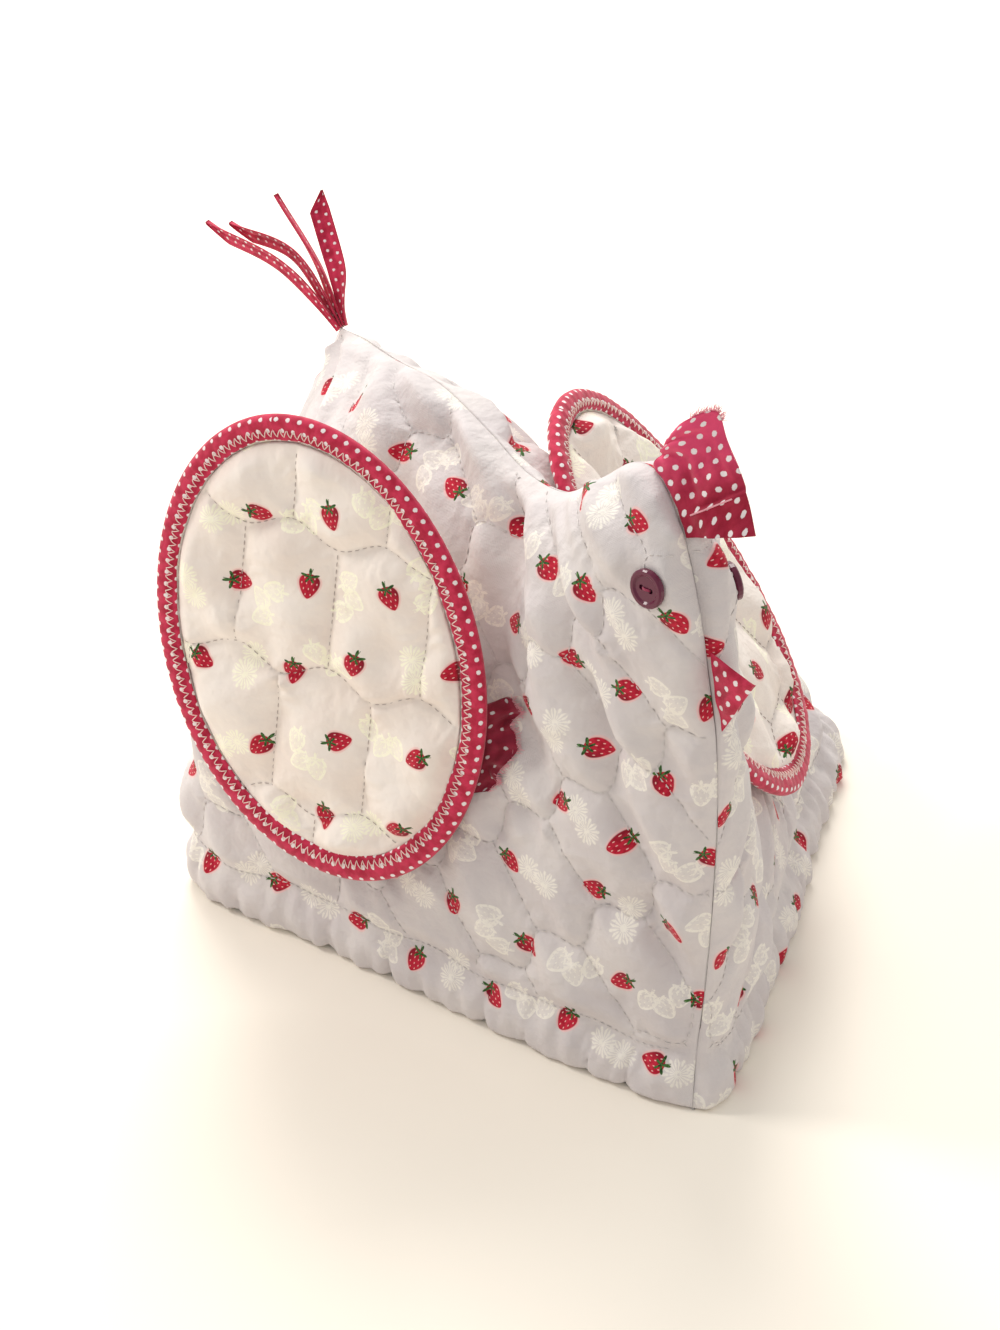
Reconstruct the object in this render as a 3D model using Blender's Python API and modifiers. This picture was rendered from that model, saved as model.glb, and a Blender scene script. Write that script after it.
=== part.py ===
# Hen-shaped quilted tea cosy, standing on its hem.  Metres, +Z up, the hen faces +X.
import bpy
import bmesh
import math
import numpy as np
from mathutils import Vector
from mathutils.bvhtree import BVHTree

for old in list(bpy.data.objects):
    bpy.data.objects.remove(old, do_unlink=True)

# ---------------------------------------------------------------- sizes
GAP = 0.0003            # clear gap between neighbouring pieces
SHEET = 0.0032          # quilted cloth in a stitched groove
PUFF = 0.0030           # extra height of a quilted cell at its middle
# quilting: cell width, spacing of the wavy rows, half height of their wave, their turn on
# the cloth in radians, and where a crest of one row falls
QUILT_PANEL = (0.0330, 0.0525, 0.0060, 0.7160, (-0.0635, 0.1365))
QUILT_WING = (0.0410, 0.0590, 0.0038, 0.2840, (0.0048, -0.0089))
QUILT_SOFT = 0.0080     # distance over which a cell rises beside its stitching
QUILT_FROM = (0.010, 0.024)     # heights between which the quilting above the hem begins
HEM_ROLL = 0.0024       # extra thickness of the rolled hem
HEM_MIDDLE = 0.0065     # height of the roll's middle
HEM_REACH = 0.0060      # half its height
HEM_FOLD = 0.0014       # extra thickness where the hem is turned up
EDGE_CALM = 0.012       # distance from a seam over which quilting and folds die away
EDGE_THIN = 0.30        # share of its thickness that the cloth loses in a seam
COLUMNS = 43            # faces along a side panel
ROWS = 25               # faces from hem to ridge

# breast seam from hem to the top of the head: x, y, z
FRONT = ((-0.0070, -0.0095, 0.0000), (-0.0120, -0.0050, 0.0220), (-0.0135, -0.0015, 0.0500),
         (-0.0130, 0.0000, 0.0900), (-0.0125, 0.0000, 0.1350), (-0.0150, 0.0000, 0.1680),
         (-0.0200, 0.0000, 0.1880), (-0.0260, 0.0000, 0.2090), (-0.0330, 0.0000, 0.2290),
         (-0.0410, 0.0000, 0.2440), (-0.0500, 0.0000, 0.2550))
# top seam from the head over the saddle to the tail: x, z
RIDGE = ((-0.0500, 0.2550), (-0.0620, 0.2610), (-0.0760, 0.2570), (-0.0950, 0.2410),
         (-0.1180, 0.2230), (-0.1450, 0.2180), (-0.1750, 0.2230), (-0.2100, 0.2265),
         (-0.2450, 0.2215), (-0.2720, 0.2190), (-0.2920, 0.2150))
# back seam from hem to the tail: x, y, z
BACK = ((-0.2780, 0.0380, 0.0000), (-0.2860, 0.0310, 0.0400), (-0.2960, 0.0200, 0.0900),
        (-0.3040, 0.0080, 0.1400), (-0.3060, 0.0020, 0.1750), (-0.3010, 0.0000, 0.2000),
        (-0.2920, 0.0000, 0.2150))
# hem of the right panel, breast to back: x, y
HEM_RIGHT = ((-0.0070, -0.0095), (-0.0180, -0.0180), (-0.0330, -0.0260), (-0.0700, -0.0430),
             (-0.1230, -0.0630), (-0.1840, -0.0880), (-0.2180, -0.1050), (-0.2420, -0.1070),
             (-0.2570, -0.0880), (-0.2660, -0.0500), (-0.2750, 0.0000), (-0.2780, 0.0380))
# hem of the left panel, breast to back: x, y
HEM_LEFT = ((-0.0070, -0.0095), (-0.0030, -0.0040), (-0.0060, 0.0050), (-0.0240, 0.0290),
            (-0.0500, 0.0580), (-0.0800, 0.0930), (-0.1240, 0.1380), (-0.1560, 0.1740),
            (-0.1780, 0.1900), (-0.2000, 0.1900), (-0.2230, 0.1700), (-0.2560, 0.1080),
            (-0.2780, 0.0380))
# roundness of a panel's upright section, against its share of columns from breast to back
ROUND_RIGHT = ((0.0, 1.50), (0.14, 1.70), (0.30, 1.50), (0.55, 1.55), (0.68, 1.80),
               (0.85, 1.60), (1.0, 1.45))
ROUND_LEFT = ((0.0, 1.50), (0.14, 1.60), (0.30, 1.25), (0.50, 1.12), (0.70, 1.08),
              (0.85, 1.15), (1.0, 1.35))
# share of the hem and of the ridge reached by a share of the columns
HEM_SHARE = ((0.0, 0.0), (0.25, 0.17), (0.50, 0.40), (0.70, 0.66), (0.85, 0.82), (1.0, 1.0))
RIDGE_SHARE = ((0.0, 0.0), (0.25, 0.24), (0.50, 0.50), (0.70, 0.74), (0.85, 0.88), (1.0, 1.0))
# blunt breast and head beside the seam: height, forward push, sideways push
SWELL_RIGHT = ((0.0, 0.000, 0.000), (0.150, 0.001, 0.000), (0.205, 0.006, 0.003),
               (0.240, 0.006, 0.003), (0.262, 0.001, 0.000))
SWELL_LEFT = ((0.0, 0.000, 0.000), (0.040, -0.004, -0.003), (0.130, -0.004, -0.004),
              (0.170, 0.001, -0.001),
              (0.205, 0.004, 0.001), (0.240, 0.005, 0.002), (0.262, 0.001, 0.000))
SWELL_REACH = 0.013     # distance from the seam where the push is greatest
HEAD = (-0.066, 0.226, 0.050, 0.044)    # middle x, z and reach along x and z of the full head
HEAD_FULL = (0.0120, 0.0075)            # how far the right and left sides are pushed out
HEAD_TURN = 0.009       # distance from the seam over which the head rounds off
# soft folds: depth (minus is a valley), half width, then x, z points
FOLDS_RIGHT = (
    (-0.0070, 0.0100, ((-0.136, 0.222), (-0.129, 0.195), (-0.123, 0.172), (-0.115, 0.150),
                       (-0.097, 0.133), (-0.076, 0.118))),
    (-0.0034, 0.0065, ((-0.074, 0.184), (-0.062, 0.166), (-0.053, 0.143), (-0.045, 0.124),
                       (-0.038, 0.108), (-0.033, 0.085))),
    (-0.0028, 0.0070, ((-0.060, 0.098), (-0.048, 0.081), (-0.034, 0.085), (-0.025, 0.068),
                       (-0.016, 0.045))),
    (-0.0025, 0.0070, ((-0.090, 0.094), (-0.080, 0.081), (-0.066, 0.058))),
    (0.0035, 0.0170, ((-0.092, 0.200), (-0.090, 0.165), (-0.078, 0.140))),
    (-0.0040, 0.0120, ((-0.180, 0.224), (-0.192, 0.198), (-0.206, 0.170))),
    (-0.0030, 0.0110, ((-0.235, 0.222), (-0.238, 0.190), (-0.236, 0.150))),
)
FOLDS_LEFT = (
    (-0.0085, 0.0130, ((-0.120, 0.232), (-0.120, 0.200), (-0.112, 0.160), (-0.096, 0.115))),
    (-0.0035, 0.0120, ((-0.210, 0.205), (-0.190, 0.150), (-0.175, 0.100))),
)
PLEAT = 0.024           # spacing of the upright puckers along the hem
PLEAT_DEPTH = 0.0012    # how deep they are
PLEAT_UP_TO = (0.018, 0.034)    # heights between which they die away

# wings: centre, outward normal, long axis, lift of the front edge away from the body
WING_LONG = 0.0980      # half length to the edge of the binding
WING_SHORT = 0.0720     # half width
WING_RIGHT = ((-0.1671, -0.0820, 0.1505), (0.520, -0.842, 0.141), (-0.275, -0.008, 0.961), 0.0)
WING_LEFT = ((-0.1397, 0.0715, 0.1409), (0.555, 0.620, 0.554), (-0.348, -0.432, 0.832), 0.0038)
WING_STEPS = 48         # faces round a binding
PAD_ACROSS = 14         # faces across a wing
PAD_ALONG = 18          # faces along it
BINDING = 0.0095        # width of the folded binding
PAD_EDGE = 0.0022       # thickness of the wing inside its binding
PAD_PUFF = 0.0028       # extra height of its quilted cells
PAD_FULL = 0.0004       # extra height of a wing all over, inside its binding
PAD_BACK = 0.6          # share of the height that the wing's back has
PAD_LIP = 0.0008        # flat lip between the cells and the binding
LIP_ROWS = (0.0058, 0.0019)     # how far in from the edge the flat lip has its points
BINDING_THICK = 0.0011  # thickness of one side of a binding
BINDING_FULL = 0.0006   # extra height of its middle
WING_CLEAR = 0.0036     # from the middle of a wing's thickness down to the cloth under it
WING_ROOM = 0.006       # how far past the wing's edge the cloth under it gives way

# tab that ties the right wing's front edge to the body
TAB_TALL = 0.036
TAB_THICK = 0.0030
TAB_INSET = 0.0042      # distance of the tab behind the wing's front edge
TAB_MIDDLE = -0.041     # its middle along the wing
TAB_BEHIND = 0.0022     # from the wing's back to the tab's edge
TAB_WAVE = (0.0015, 6.0)        # half height of its ruffle, and radians of it along the tab
TAB_ROOM = 0.0009       # clear space between the tab and the panel

# comb: root on the head seam (x, z) and outer edge (x, y, z), from the front to the rear
COMB_ROOT = ((-0.0400, 0.2423), (-0.0430, 0.2470), (-0.0465, 0.2515), (-0.0505, 0.2554),
             (-0.0555, 0.2588), (-0.0610, 0.2609))
COMB_EDGE = ((-0.0230, 0.0190, 0.2465), (-0.0330, 0.0187, 0.2665), (-0.0415, 0.0178, 0.2760),
             (-0.0460, 0.0160, 0.2860), (-0.0530, 0.0095, 0.2868), (-0.0590, 0.0030, 0.2780))
COMB_THICK = 0.0032
COMB_STANDS = 0.0011    # how far its root stands off the seam
COMB_WAVE = 0.0016      # half height of its two soft pleats
COMB_TUCK = 0.0022      # step of the folded strip at its lower front
COMB_RIBS = 13
COMB_STEPS = 6

# beak: two corners on the seam and the tip
BEAK = ((-0.0221, 0.0004, 0.2030), (-0.0131, 0.0004, 0.1735), (-0.0005, 0.0045, 0.1992))
BEAK_THICK = 0.0050
BEAK_SIDES = 12

# button eyes: middle (x, z) on the right and left side of the head
EYE_RIGHT = (-0.0370, 0.2287)
EYE_LEFT = (-0.0400, 0.2170)
EYE_DISC = 0.0150       # across the button
EYE_THICK = 0.0028
EYE_DISH = 0.0007       # depth of the dish in its face
EYE_RIM = 0.0018        # width of its rim
EYE_BEVEL = 0.0006      # rounding of its edges
EYE_TILT = 1.10         # how far the button leans towards the side of the head
EYE_ROOM = 0.0003       # gap under the button
EYE_HOLE = 0.0021       # across a thread hole
EYE_PITCH = 0.0044      # between the two holes

# tail ribbons: root, middle, tip, and the direction across the strip at the root and the tip
RIBBON_WIDE = 0.0086
RIBBON_THICK = 0.0015
RIBBON_STEPS = 9
RIBBONS = (
    ((-0.2928, -0.0033, 0.2130), (-0.3170, -0.0120, 0.2345), (-0.3560, -0.0280, 0.2420),
     (0.42, -0.05, 0.90), (0.30, -0.32, 0.90)),
    ((-0.2921, -0.0011, 0.2150), (-0.3180, -0.0070, 0.2392), (-0.3505, -0.0195, 0.2415),
     (0.42, -0.05, 0.90), (0.30, -0.32, 0.90)),
    ((-0.2906, 0.0011, 0.2170), (-0.3130, 0.0000, 0.2370), (-0.3385, -0.0040, 0.2570),
     (0.45, 0.00, 0.89), (0.70, -0.44, 0.56)),
    ((-0.2880, 0.0033, 0.2190), (-0.3040, 0.0045, 0.2400), (-0.3215, 0.0055, 0.2640),
     (0.60, 0.05, 0.80), (0.45, 0.86, 0.25)),
)
ORIGIN = (-0.1790, 0.0350, 0.0)     # middle of the whole cosy's box, at the table

# ---------------------------------------------------------------- curves
def spline(rows, where):
    """Catmull-Rom curve through the rows at the shares of chord length `where` (0 to 1)."""
    p = np.array(rows, float)
    step = np.linalg.norm(np.diff(p, axis=0), axis=1)
    s = np.concatenate(([0.0], np.cumsum(step)))
    s = s / s[-1]
    m = np.zeros_like(p)
    m[1:-1] = (p[2:] - p[:-2]) / (s[2:] - s[:-2])[:, None]
    m[0] = (p[1] - p[0]) / (s[1] - s[0])
    m[-1] = (p[-1] - p[-2]) / (s[-1] - s[-2])
    w = np.clip(np.asarray(where, float), 0.0, 1.0)
    k = np.clip(np.searchsorted(s, w, side="right") - 1, 0, len(s) - 2)
    h = (s[k + 1] - s[k])[..., None]
    t = ((w - s[k]) / (s[k + 1] - s[k]))[..., None]
    a = (1 + 2 * t) * (1 - t) ** 2 * p[k]
    b = t * (1 - t) ** 2 * h * m[k]
    c = t * t * (3 - 2 * t) * p[k + 1]
    d = t * t * (t - 1) * h * m[k + 1]
    return a + b + c + d


def table(rows, where):
    """Straight interpolation in a two-column table."""
    r = np.array(rows, float)
    return np.interp(where, r[:, 0], r[:, 1])


def ease(x, low, high):
    """Smooth step from 0 at low to 1 at high."""
    t = np.clip((x - low) / (high - low), 0.0, 1.0)
    return t * t * (3 - 2 * t)


def quilt_distance(a, b, quilt):
    """Distance from a point of the cloth to the nearest quilting line.

    In the turned frame, wavy rows b = k H + A cos(2 pi (a / W - k / 2)), joined crest to
    trough by straight lines.
    """
    width, height, wave, turn, crest = quilt
    p = a * math.cos(turn) - b * math.sin(turn) - crest[0]
    q = a * math.sin(turn) + b * math.cos(turn) - crest[1]
    best = np.full(np.shape(p), 1.0)
    k0 = np.floor(q / height)
    below = k0 - 1.0
    for step in (-1.0, 0.0, 1.0, 2.0):
        k = k0 + step
        phase = 2 * math.pi * (p / width - k / 2.0)
        line = k * height + wave * np.cos(phase)
        slope = wave * 2 * math.pi / width * np.sin(phase)
        best = np.minimum(best, np.abs(q - line) / np.sqrt(1.0 + slope ** 2))
        below = np.where(q >= line, k, below)
    phase = p / width - below / 2.0
    return np.minimum(best, np.abs(phase - np.round(phase)) * width)


def puff(a, b, quilt):
    """Height of the quilted cells, 0 in the stitched grooves and 1 in the middle of a cell."""
    d = quilt_distance(a, b, quilt)
    return 1.0 - np.exp(-(d / QUILT_SOFT) ** 1.6)


def path_distance(x, z, points):
    """Distance from x, z to an open run of straight pieces, and the share along it."""
    best = np.full(np.shape(x), 1.0)
    share = np.zeros(np.shape(x))
    count = len(points) - 1
    for k in range(count):
        ax, az = points[k]
        bx, bz = points[k + 1]
        length = (bx - ax) ** 2 + (bz - az) ** 2
        t = np.clip(((x - ax) * (bx - ax) + (z - az) * (bz - az)) / length, 0.0, 1.0)
        d = np.hypot(x - ax - t * (bx - ax), z - az - t * (bz - az))
        share = np.where(d < best, (k + t) / count, share)
        best = np.minimum(best, d)
    return best, share


# ---------------------------------------------------------------- side panels
def shares(count, grow):
    """Shares 0 to 1 in `count` steps, the first of them cut down to the shares in `grow`."""
    step = np.ones(count)
    step[:len(grow)] = grow
    run = np.concatenate(([0.0], np.cumsum(step)))
    return run / run[-1]


def panel_points(side, u, v):
    """Smooth outer surface of one side panel without its quilting: columns x rows points.

    Each column runs from the hem point H to the ridge point R as a rounded section
    R + (H - R) cos(q)^p across and R sin(q)^p up, then the two end columns are drawn to
    the breast and back seams and the blunt breast is pushed out beside its seam.
    """
    hem = spline(HEM_RIGHT if side < 0 else HEM_LEFT, table(HEM_SHARE, u))
    ridge = spline(RIDGE, table(RIDGE_SHARE, u))
    front = spline(FRONT, v)
    back = spline(BACK, v)
    fine = np.linspace(0.0, 1.0, 241)
    out = np.zeros((len(u), len(v), 3))
    round_by = ROUND_RIGHT if side < 0 else ROUND_LEFT
    for i in range(len(u)):
        power = 2.0 / table(round_by, u[i])
        c = np.cos(fine * math.pi / 2) ** power
        s = np.sin(fine * math.pi / 2) ** power
        c[-1] = 0.0
        col = np.zeros((241, 3))
        col[:, 0] = ridge[i, 0] + (hem[i, 0] - ridge[i, 0]) * c
        col[:, 1] = hem[i, 1] * c
        col[:, 2] = ridge[i, 1] * s
        run = np.concatenate(([0.0], np.cumsum(np.linalg.norm(np.diff(col, axis=0), axis=1))))
        for axis in range(3):
            out[i, :, axis] = np.interp(v * run[-1], run, col[:, axis])
    wf = (1.0 - ease(u, 0.0, 0.40))[:, None, None]
    wb = ease(u, 0.55, 1.0)[:, None, None]
    out = out + wf * (front - out[0])[None] + wb * (back - out[-1])[None]
    along = np.zeros(out.shape[:2])
    along[1:] = np.cumsum(np.linalg.norm(np.diff(out, axis=0), axis=2), axis=0)
    push = along / SWELL_REACH * np.exp(1.0 - along / SWELL_REACH)
    swell = np.array(SWELL_RIGHT if side < 0 else SWELL_LEFT)
    out[:, :, 0] += push * np.interp(out[:, :, 2], swell[:, 0], swell[:, 1])
    out[:, :, 1] += push * side * np.interp(out[:, :, 2], swell[:, 0], swell[:, 2])
    up = np.zeros(out.shape[:2])
    up[:, 1:] = np.cumsum(np.linalg.norm(np.diff(out, axis=1), axis=2), axis=1)
    edge = np.minimum(along, up[:, -1][:, None] - up)
    x, z, reach_x, reach_z = HEAD
    fullness = HEAD_FULL[0 if side < 0 else 1]
    head = np.exp(-((out[:, :, 0] - x) / reach_x) ** 2 - ((out[:, :, 2] - z) / reach_z) ** 2)
    out[:, :, 1] += side * fullness * head * (1.0 - np.exp(-(edge / HEAD_TURN) ** 2))
    return out


def grid_normals(grid, side):
    """Unit outward normals of a panel's grid of points."""
    n = np.cross(np.gradient(grid, axis=0), np.gradient(grid, axis=1)) * side
    return n / np.maximum(np.linalg.norm(n, axis=2, keepdims=True), 1e-9)


def cloth_lengths(grid):
    """Lengths measured on the cloth: back from the breast seam, and up from the hem."""
    a = np.zeros(grid.shape[:2])
    b = np.zeros(grid.shape[:2])
    a[1:] = np.cumsum(np.linalg.norm(np.diff(grid, axis=0), axis=2), axis=0)
    b[:, 1:] = np.cumsum(np.linalg.norm(np.diff(grid, axis=1), axis=2), axis=1)
    return a, b


def seam_side(x, z):
    """Sideways place of the seam between the panels at a point of the body."""
    front = np.interp(z, (0.0, 0.022, 0.050, 0.090), (-0.0095, -0.0050, -0.0015, 0.0))
    back = np.interp(z, (0.0, 0.040, 0.090, 0.140, 0.175), (0.038, 0.031, 0.020, 0.008, 0.002))
    back = np.where(z > 0.2, 0.0, back)
    return np.where(x > -0.06, front, np.where(x < -0.24, back, 0.0))


def face_grid(name, grid, thick, side):
    """Sheet object from a grid of points, with the wanted thickness kept per point."""
    cols, rows = grid.shape[:2]
    index = np.arange(cols * rows).reshape(cols, rows)
    quads = []
    for i in range(cols - 1):
        for j in range(rows - 1):
            q = (index[i, j], index[i + 1, j], index[i + 1, j + 1], index[i, j + 1])
            quads.append(q if side > 0 else q[::-1])
    mesh = bpy.data.meshes.new(name)
    mesh.from_pydata(grid.reshape(-1, 3).tolist(), [], [list(map(int, q)) for q in quads])
    obj = bpy.data.objects.new(name, mesh)
    group = obj.vertex_groups.new(name="thick")
    top = float(thick.max())
    for k, value in enumerate(thick.reshape(-1)):
        group.add([k], float(value / top), "REPLACE")
    mod = obj.modifiers.new("thickness", "SOLIDIFY")
    mod.thickness = top
    mod.offset = -1.0
    mod.vertex_group = "thick"
    mod.use_rim = True
    return obj


def bake(obj):
    """Put the object's modifiers into its mesh."""
    bpy.context.view_layer.update()
    graph = bpy.context.evaluated_depsgraph_get()
    mesh = bpy.data.meshes.new_from_object(obj.evaluated_get(graph))
    obj.modifiers.clear()
    obj.vertex_groups.clear()
    obj.data = mesh


def wing_frame(wing):
    """Centre and the three unit axes of a wing: along its width, its length and outwards."""
    centre, normal, axis = (np.array(q, float) for q in wing[:3])
    normal = normal / np.linalg.norm(normal)
    axis = axis - normal * (axis @ normal)
    axis = axis / np.linalg.norm(axis)
    return centre, np.cross(normal, axis), axis, normal


def pressed(points, wing):
    """How far the points of a panel give way so that the wing over them lies clear."""
    centre, across, along, normal = wing_frame(wing)
    rel = points - centre
    p = rel @ across
    q = rel @ along
    reach = np.hypot(p / (WING_SHORT + WING_ROOM), q / (WING_LONG + WING_ROOM))
    free = 1.0 - ease(reach, 0.93, 1.13)
    level = wing[3] * np.maximum(p / WING_SHORT, 0.0) ** 2 - WING_CLEAR
    return (np.maximum(rel @ normal - level, 0.0) * free)[:, :, None] * normal


def panel_sheet(side):
    """One quilted side panel: outer points, wadding thickness, folds, hem roll and cells."""
    u = shares(COLUMNS, (0.5, 0.5, 0.6, 0.7, 0.8, 0.9))
    v = shares(ROWS, (0.45, 0.65, 0.8))
    grid = panel_points(side, u, v)
    n = grid_normals(grid, side)
    a, b = cloth_lengths(grid)
    x = grid[:, :, 0]
    z = grid[:, :, 2]
    lift = np.zeros(a.shape)
    for depth, width, points in (FOLDS_RIGHT if side < 0 else FOLDS_LEFT):
        d, share = path_distance(x, z, points)
        fade = ease(share, -0.02, 0.15) * (1.0 - ease(share, 0.80, 1.02))
        lift += depth * np.exp(-(d / width) ** 2) * fade
    edge = np.minimum(a, a[-1][None] - a)
    edge = np.minimum(edge, b[:, -1][:, None] - b)
    calm = ease(edge, 0.0, EDGE_CALM)
    cells = puff(a, b, QUILT_PANEL) * ease(b, *QUILT_FROM)
    hem = np.exp(-((b - HEM_MIDDLE) / HEM_REACH) ** 2)
    pleat = np.abs(np.sin(math.pi * a / PLEAT)) ** 0.7
    pleats = (pleat - 1.0) * PLEAT_DEPTH * (1.0 - ease(b, *PLEAT_UP_TO))
    raised = (PUFF * cells + HEM_ROLL * hem + pleats) * calm
    outer = grid + n * (lift * calm + raised)[:, :, None]
    thick = SHEET * (1.0 - EDGE_THIN * (1.0 - calm)) + np.maximum(raised, 0.0) * 0.9
    thick += (1.0 - ease(b, 0.010, 0.020)) * HEM_FOLD
    outer = outer - pressed(outer, WING_RIGHT if side < 0 else WING_LEFT)
    outer[0, :, 1] = spline(FRONT, v)[:, 1] + side * GAP / 2
    outer[-1, :, 1] = spline(BACK, v)[:, 1] + side * GAP / 2
    outer[:, -1, 1] = side * GAP / 2
    outer[:, 0, 2] = 0.0
    return outer, thick


def clear_seam(obj, side):
    """Keep every point on its own side of the seam and above the table, its hem flat on it."""
    rows = ROWS + 1
    layer = rows * (COLUMNS + 1)
    for column in range(COLUMNS + 1):
        obj.data.vertices[column * rows].co.z = 0.0
        obj.data.vertices[layer + column * rows].co.z = 0.0
    for vert in obj.data.vertices:
        x, y, z = vert.co
        line = float(seam_side(x, z))
        if side < 0:
            y = min(y, line - GAP / 2)
        else:
            y = max(y, line + GAP / 2)
        vert.co = (x, y, max(z, 0.0))


# ---------------------------------------------------------------- materials
def material(name, colour, rough, sheen):
    """A Principled material."""
    mat = bpy.data.materials.new(name)
    mat.use_nodes = True
    node = mat.node_tree.nodes["Principled BSDF"]
    node.inputs["Base Color"].default_value = (*colour, 1.0)
    node.inputs["Roughness"].default_value = rough
    node.inputs["Sheen Weight"].default_value = sheen
    mat.diffuse_color = (*colour, 1.0)
    return mat


scene = bpy.context.scene
cosy = bpy.data.collections.new("hen_tea_cosy")
scene.collection.children.link(cosy)
cutters = bpy.data.collections.new("cutters")
scene.collection.children.link(cutters)
cutters.hide_render = True


def keep(obj, mat):
    """Add a finished object to the collection, smooth shaded."""
    obj.data.materials.clear()
    obj.data.materials.append(mat)
    for poly in obj.data.polygons:
        poly.use_smooth = True
    cosy.objects.link(obj)


def solid(name, points, quads, mat):
    """Closed mesh object from points and faces, its faces turned outwards."""
    mesh = bpy.data.meshes.new(name)
    mesh.from_pydata([tuple(map(float, q)) for q in points], [], quads)
    work = bmesh.new()
    work.from_mesh(mesh)
    bmesh.ops.recalc_face_normals(work, faces=work.faces)
    work.to_mesh(mesh)
    work.free()
    obj = bpy.data.objects.new(name, mesh)
    keep(obj, mat)
    return obj


def ring_quads(rings, steps, close):
    """Faces between rings of points, joined last to first when close is true."""
    quads = []
    for i in range(rings if close else rings - 1):
        for j in range(steps):
            k = (i + 1) % rings
            m = (j + 1) % steps
            quads.append((i * steps + j, i * steps + m, k * steps + m, k * steps + j))
    return quads


# ---------------------------------------------------------------- side panels
for side, name in ((-1, "panel_right"), (1, "panel_left")):
    outer, thick = panel_sheet(side)
    sheet = face_grid(name, outer, thick, side)
    scene.collection.objects.link(sheet)
    bake(sheet)
    scene.collection.objects.unlink(sheet)
    clear_seam(sheet, side)
    keep(sheet, material(name + "_cotton", (0.86, 0.83, 0.82), 0.9, 0.2))


# ---------------------------------------------------------------- wings
def wing_place(wing, p, q, h):
    """World points of a wing: p across, q along, h outwards, with its lifted front edge."""
    centre, across, along, normal = wing_frame(wing)
    lift = wing[3] * np.maximum(p / WING_SHORT, 0.0) ** 2
    return (centre + np.multiply.outer(p, across) + np.multiply.outer(q, along)
            + np.multiply.outer(h + lift, normal))


def wing_edge(inset):
    """Outline of a wing, set in from its edge: points p, q around."""
    t = np.arange(WING_STEPS) * 2 * math.pi / WING_STEPS
    p = WING_SHORT * np.sin(t)
    q = WING_LONG * np.cos(t)
    dp = WING_SHORT * np.cos(t)
    dq = -WING_LONG * np.sin(t)
    size = np.hypot(dp, dq)
    return p + dq / size * inset, q - dp / size * inset


def disc_grid(across, along):
    """Even grid pulled onto a round disc: x = s sqrt(1 - t t / 2), y = t sqrt(1 - s s / 2)."""
    s, t = np.meshgrid(np.linspace(-1, 1, across + 1), np.linspace(-1, 1, along + 1),
                       indexing="ij")
    return s * np.sqrt(1 - t * t / 2), t * np.sqrt(1 - s * s / 2)


def grid_rim(across, along):
    """Index pairs of a grid's outermost points in order round it."""
    run = [(i, 0) for i in range(across)]
    run += [(across, j) for j in range(along)]
    run += [(across - i, along) for i in range(across)]
    run += [(0, along - j) for j in range(along)]
    return run


def wing_pad(name, wing, side, mat):
    """Quilted oval: an even grid in front and behind, with a flat lip under the binding."""
    x, y = disc_grid(PAD_ACROSS, PAD_ALONG)
    lip = BINDING + PAD_LIP
    rim = grid_rim(PAD_ACROSS, PAD_ALONG)
    size = (PAD_ACROSS + 1) * (PAD_ALONG + 1)
    index = np.arange(size).reshape(PAD_ACROSS + 1, PAD_ALONG + 1)
    p = (WING_SHORT - lip) * x
    q = (WING_LONG - lip) * y
    radius = np.hypot(x, y)
    depth = (1.0 - radius) * (WING_SHORT - lip)
    rise = (PAD_PUFF * puff(side * p, q, QUILT_WING) + PAD_FULL) * ease(depth, 0.0, 0.006)
    rim_x = np.array([x[i] for i in rim])
    rim_y = np.array([y[i] for i in rim])
    rows = []
    for layer, swell in ((1, 1.0), (-1, PAD_BACK)):
        height = layer * (PAD_EDGE / 2 + rise.ravel() * swell)
        rows.append(wing_place(wing, p.ravel(), q.ravel(), height))
        for inset in LIP_ROWS:
            rows.append(wing_place(wing, (WING_SHORT - inset) * rim_x, (WING_LONG - inset) * rim_y,
                                   np.full(len(rim), layer * PAD_EDGE / 2)))
    points = np.concatenate(rows)
    block = size + 2 * len(rim)
    quads = []
    for base in (0, block):
        for i in range(PAD_ACROSS):
            for j in range(PAD_ALONG):
                quad = (index[i, j], index[i + 1, j], index[i + 1, j + 1], index[i, j + 1])
                quads.append(tuple(int(k) + base for k in quad))
    count = len(rim)
    grid_ring = [int(index[i]) for i in rim]
    rings = [grid_ring, [size + k for k in range(count)], [size + count + k for k in range(count)],
             [block + size + count + k for k in range(count)],
             [block + size + k for k in range(count)], [block + k for k in grid_ring]]
    for one, two in zip(rings[:-1], rings[1:]):
        for k in range(count):
            m = (k + 1) % count
            quads.append((one[k], one[m], two[m], two[k]))
    return solid(name, points, quads, mat)


def wing_binding(name, wing, mat):
    """Bias strip folded over the wing's edge: a C section carried round the oval."""
    gap = PAD_EDGE / 2 + GAP
    out = gap + BINDING_THICK
    section = ((BINDING, gap), (0.0013, gap), (0.0013, -gap), (BINDING, -gap),
               (BINDING + 0.0001, -out), (0.0055, -out - BINDING_FULL),
               (0.0018, -out - BINDING_FULL / 2), (0.0, -0.0009), (0.0, 0.0009),
               (0.0018, out + BINDING_FULL / 2), (0.0055, out + BINDING_FULL),
               (BINDING + 0.0001, out))
    rows = []
    for inset, h in section:
        p, q = wing_edge(inset)
        rows.append(wing_place(wing, p, q, np.full(WING_STEPS, h)))
    points = np.concatenate(rows)
    return solid(name, points, ring_quads(len(section), WING_STEPS, True), mat)


def pin_dot(name, shade):
    """Red pin-dot cotton, made darker or lighter by the shade."""
    return material(name, (0.62 * shade, 0.03 * shade, 0.07 * shade), 0.85, 0.2)


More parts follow.
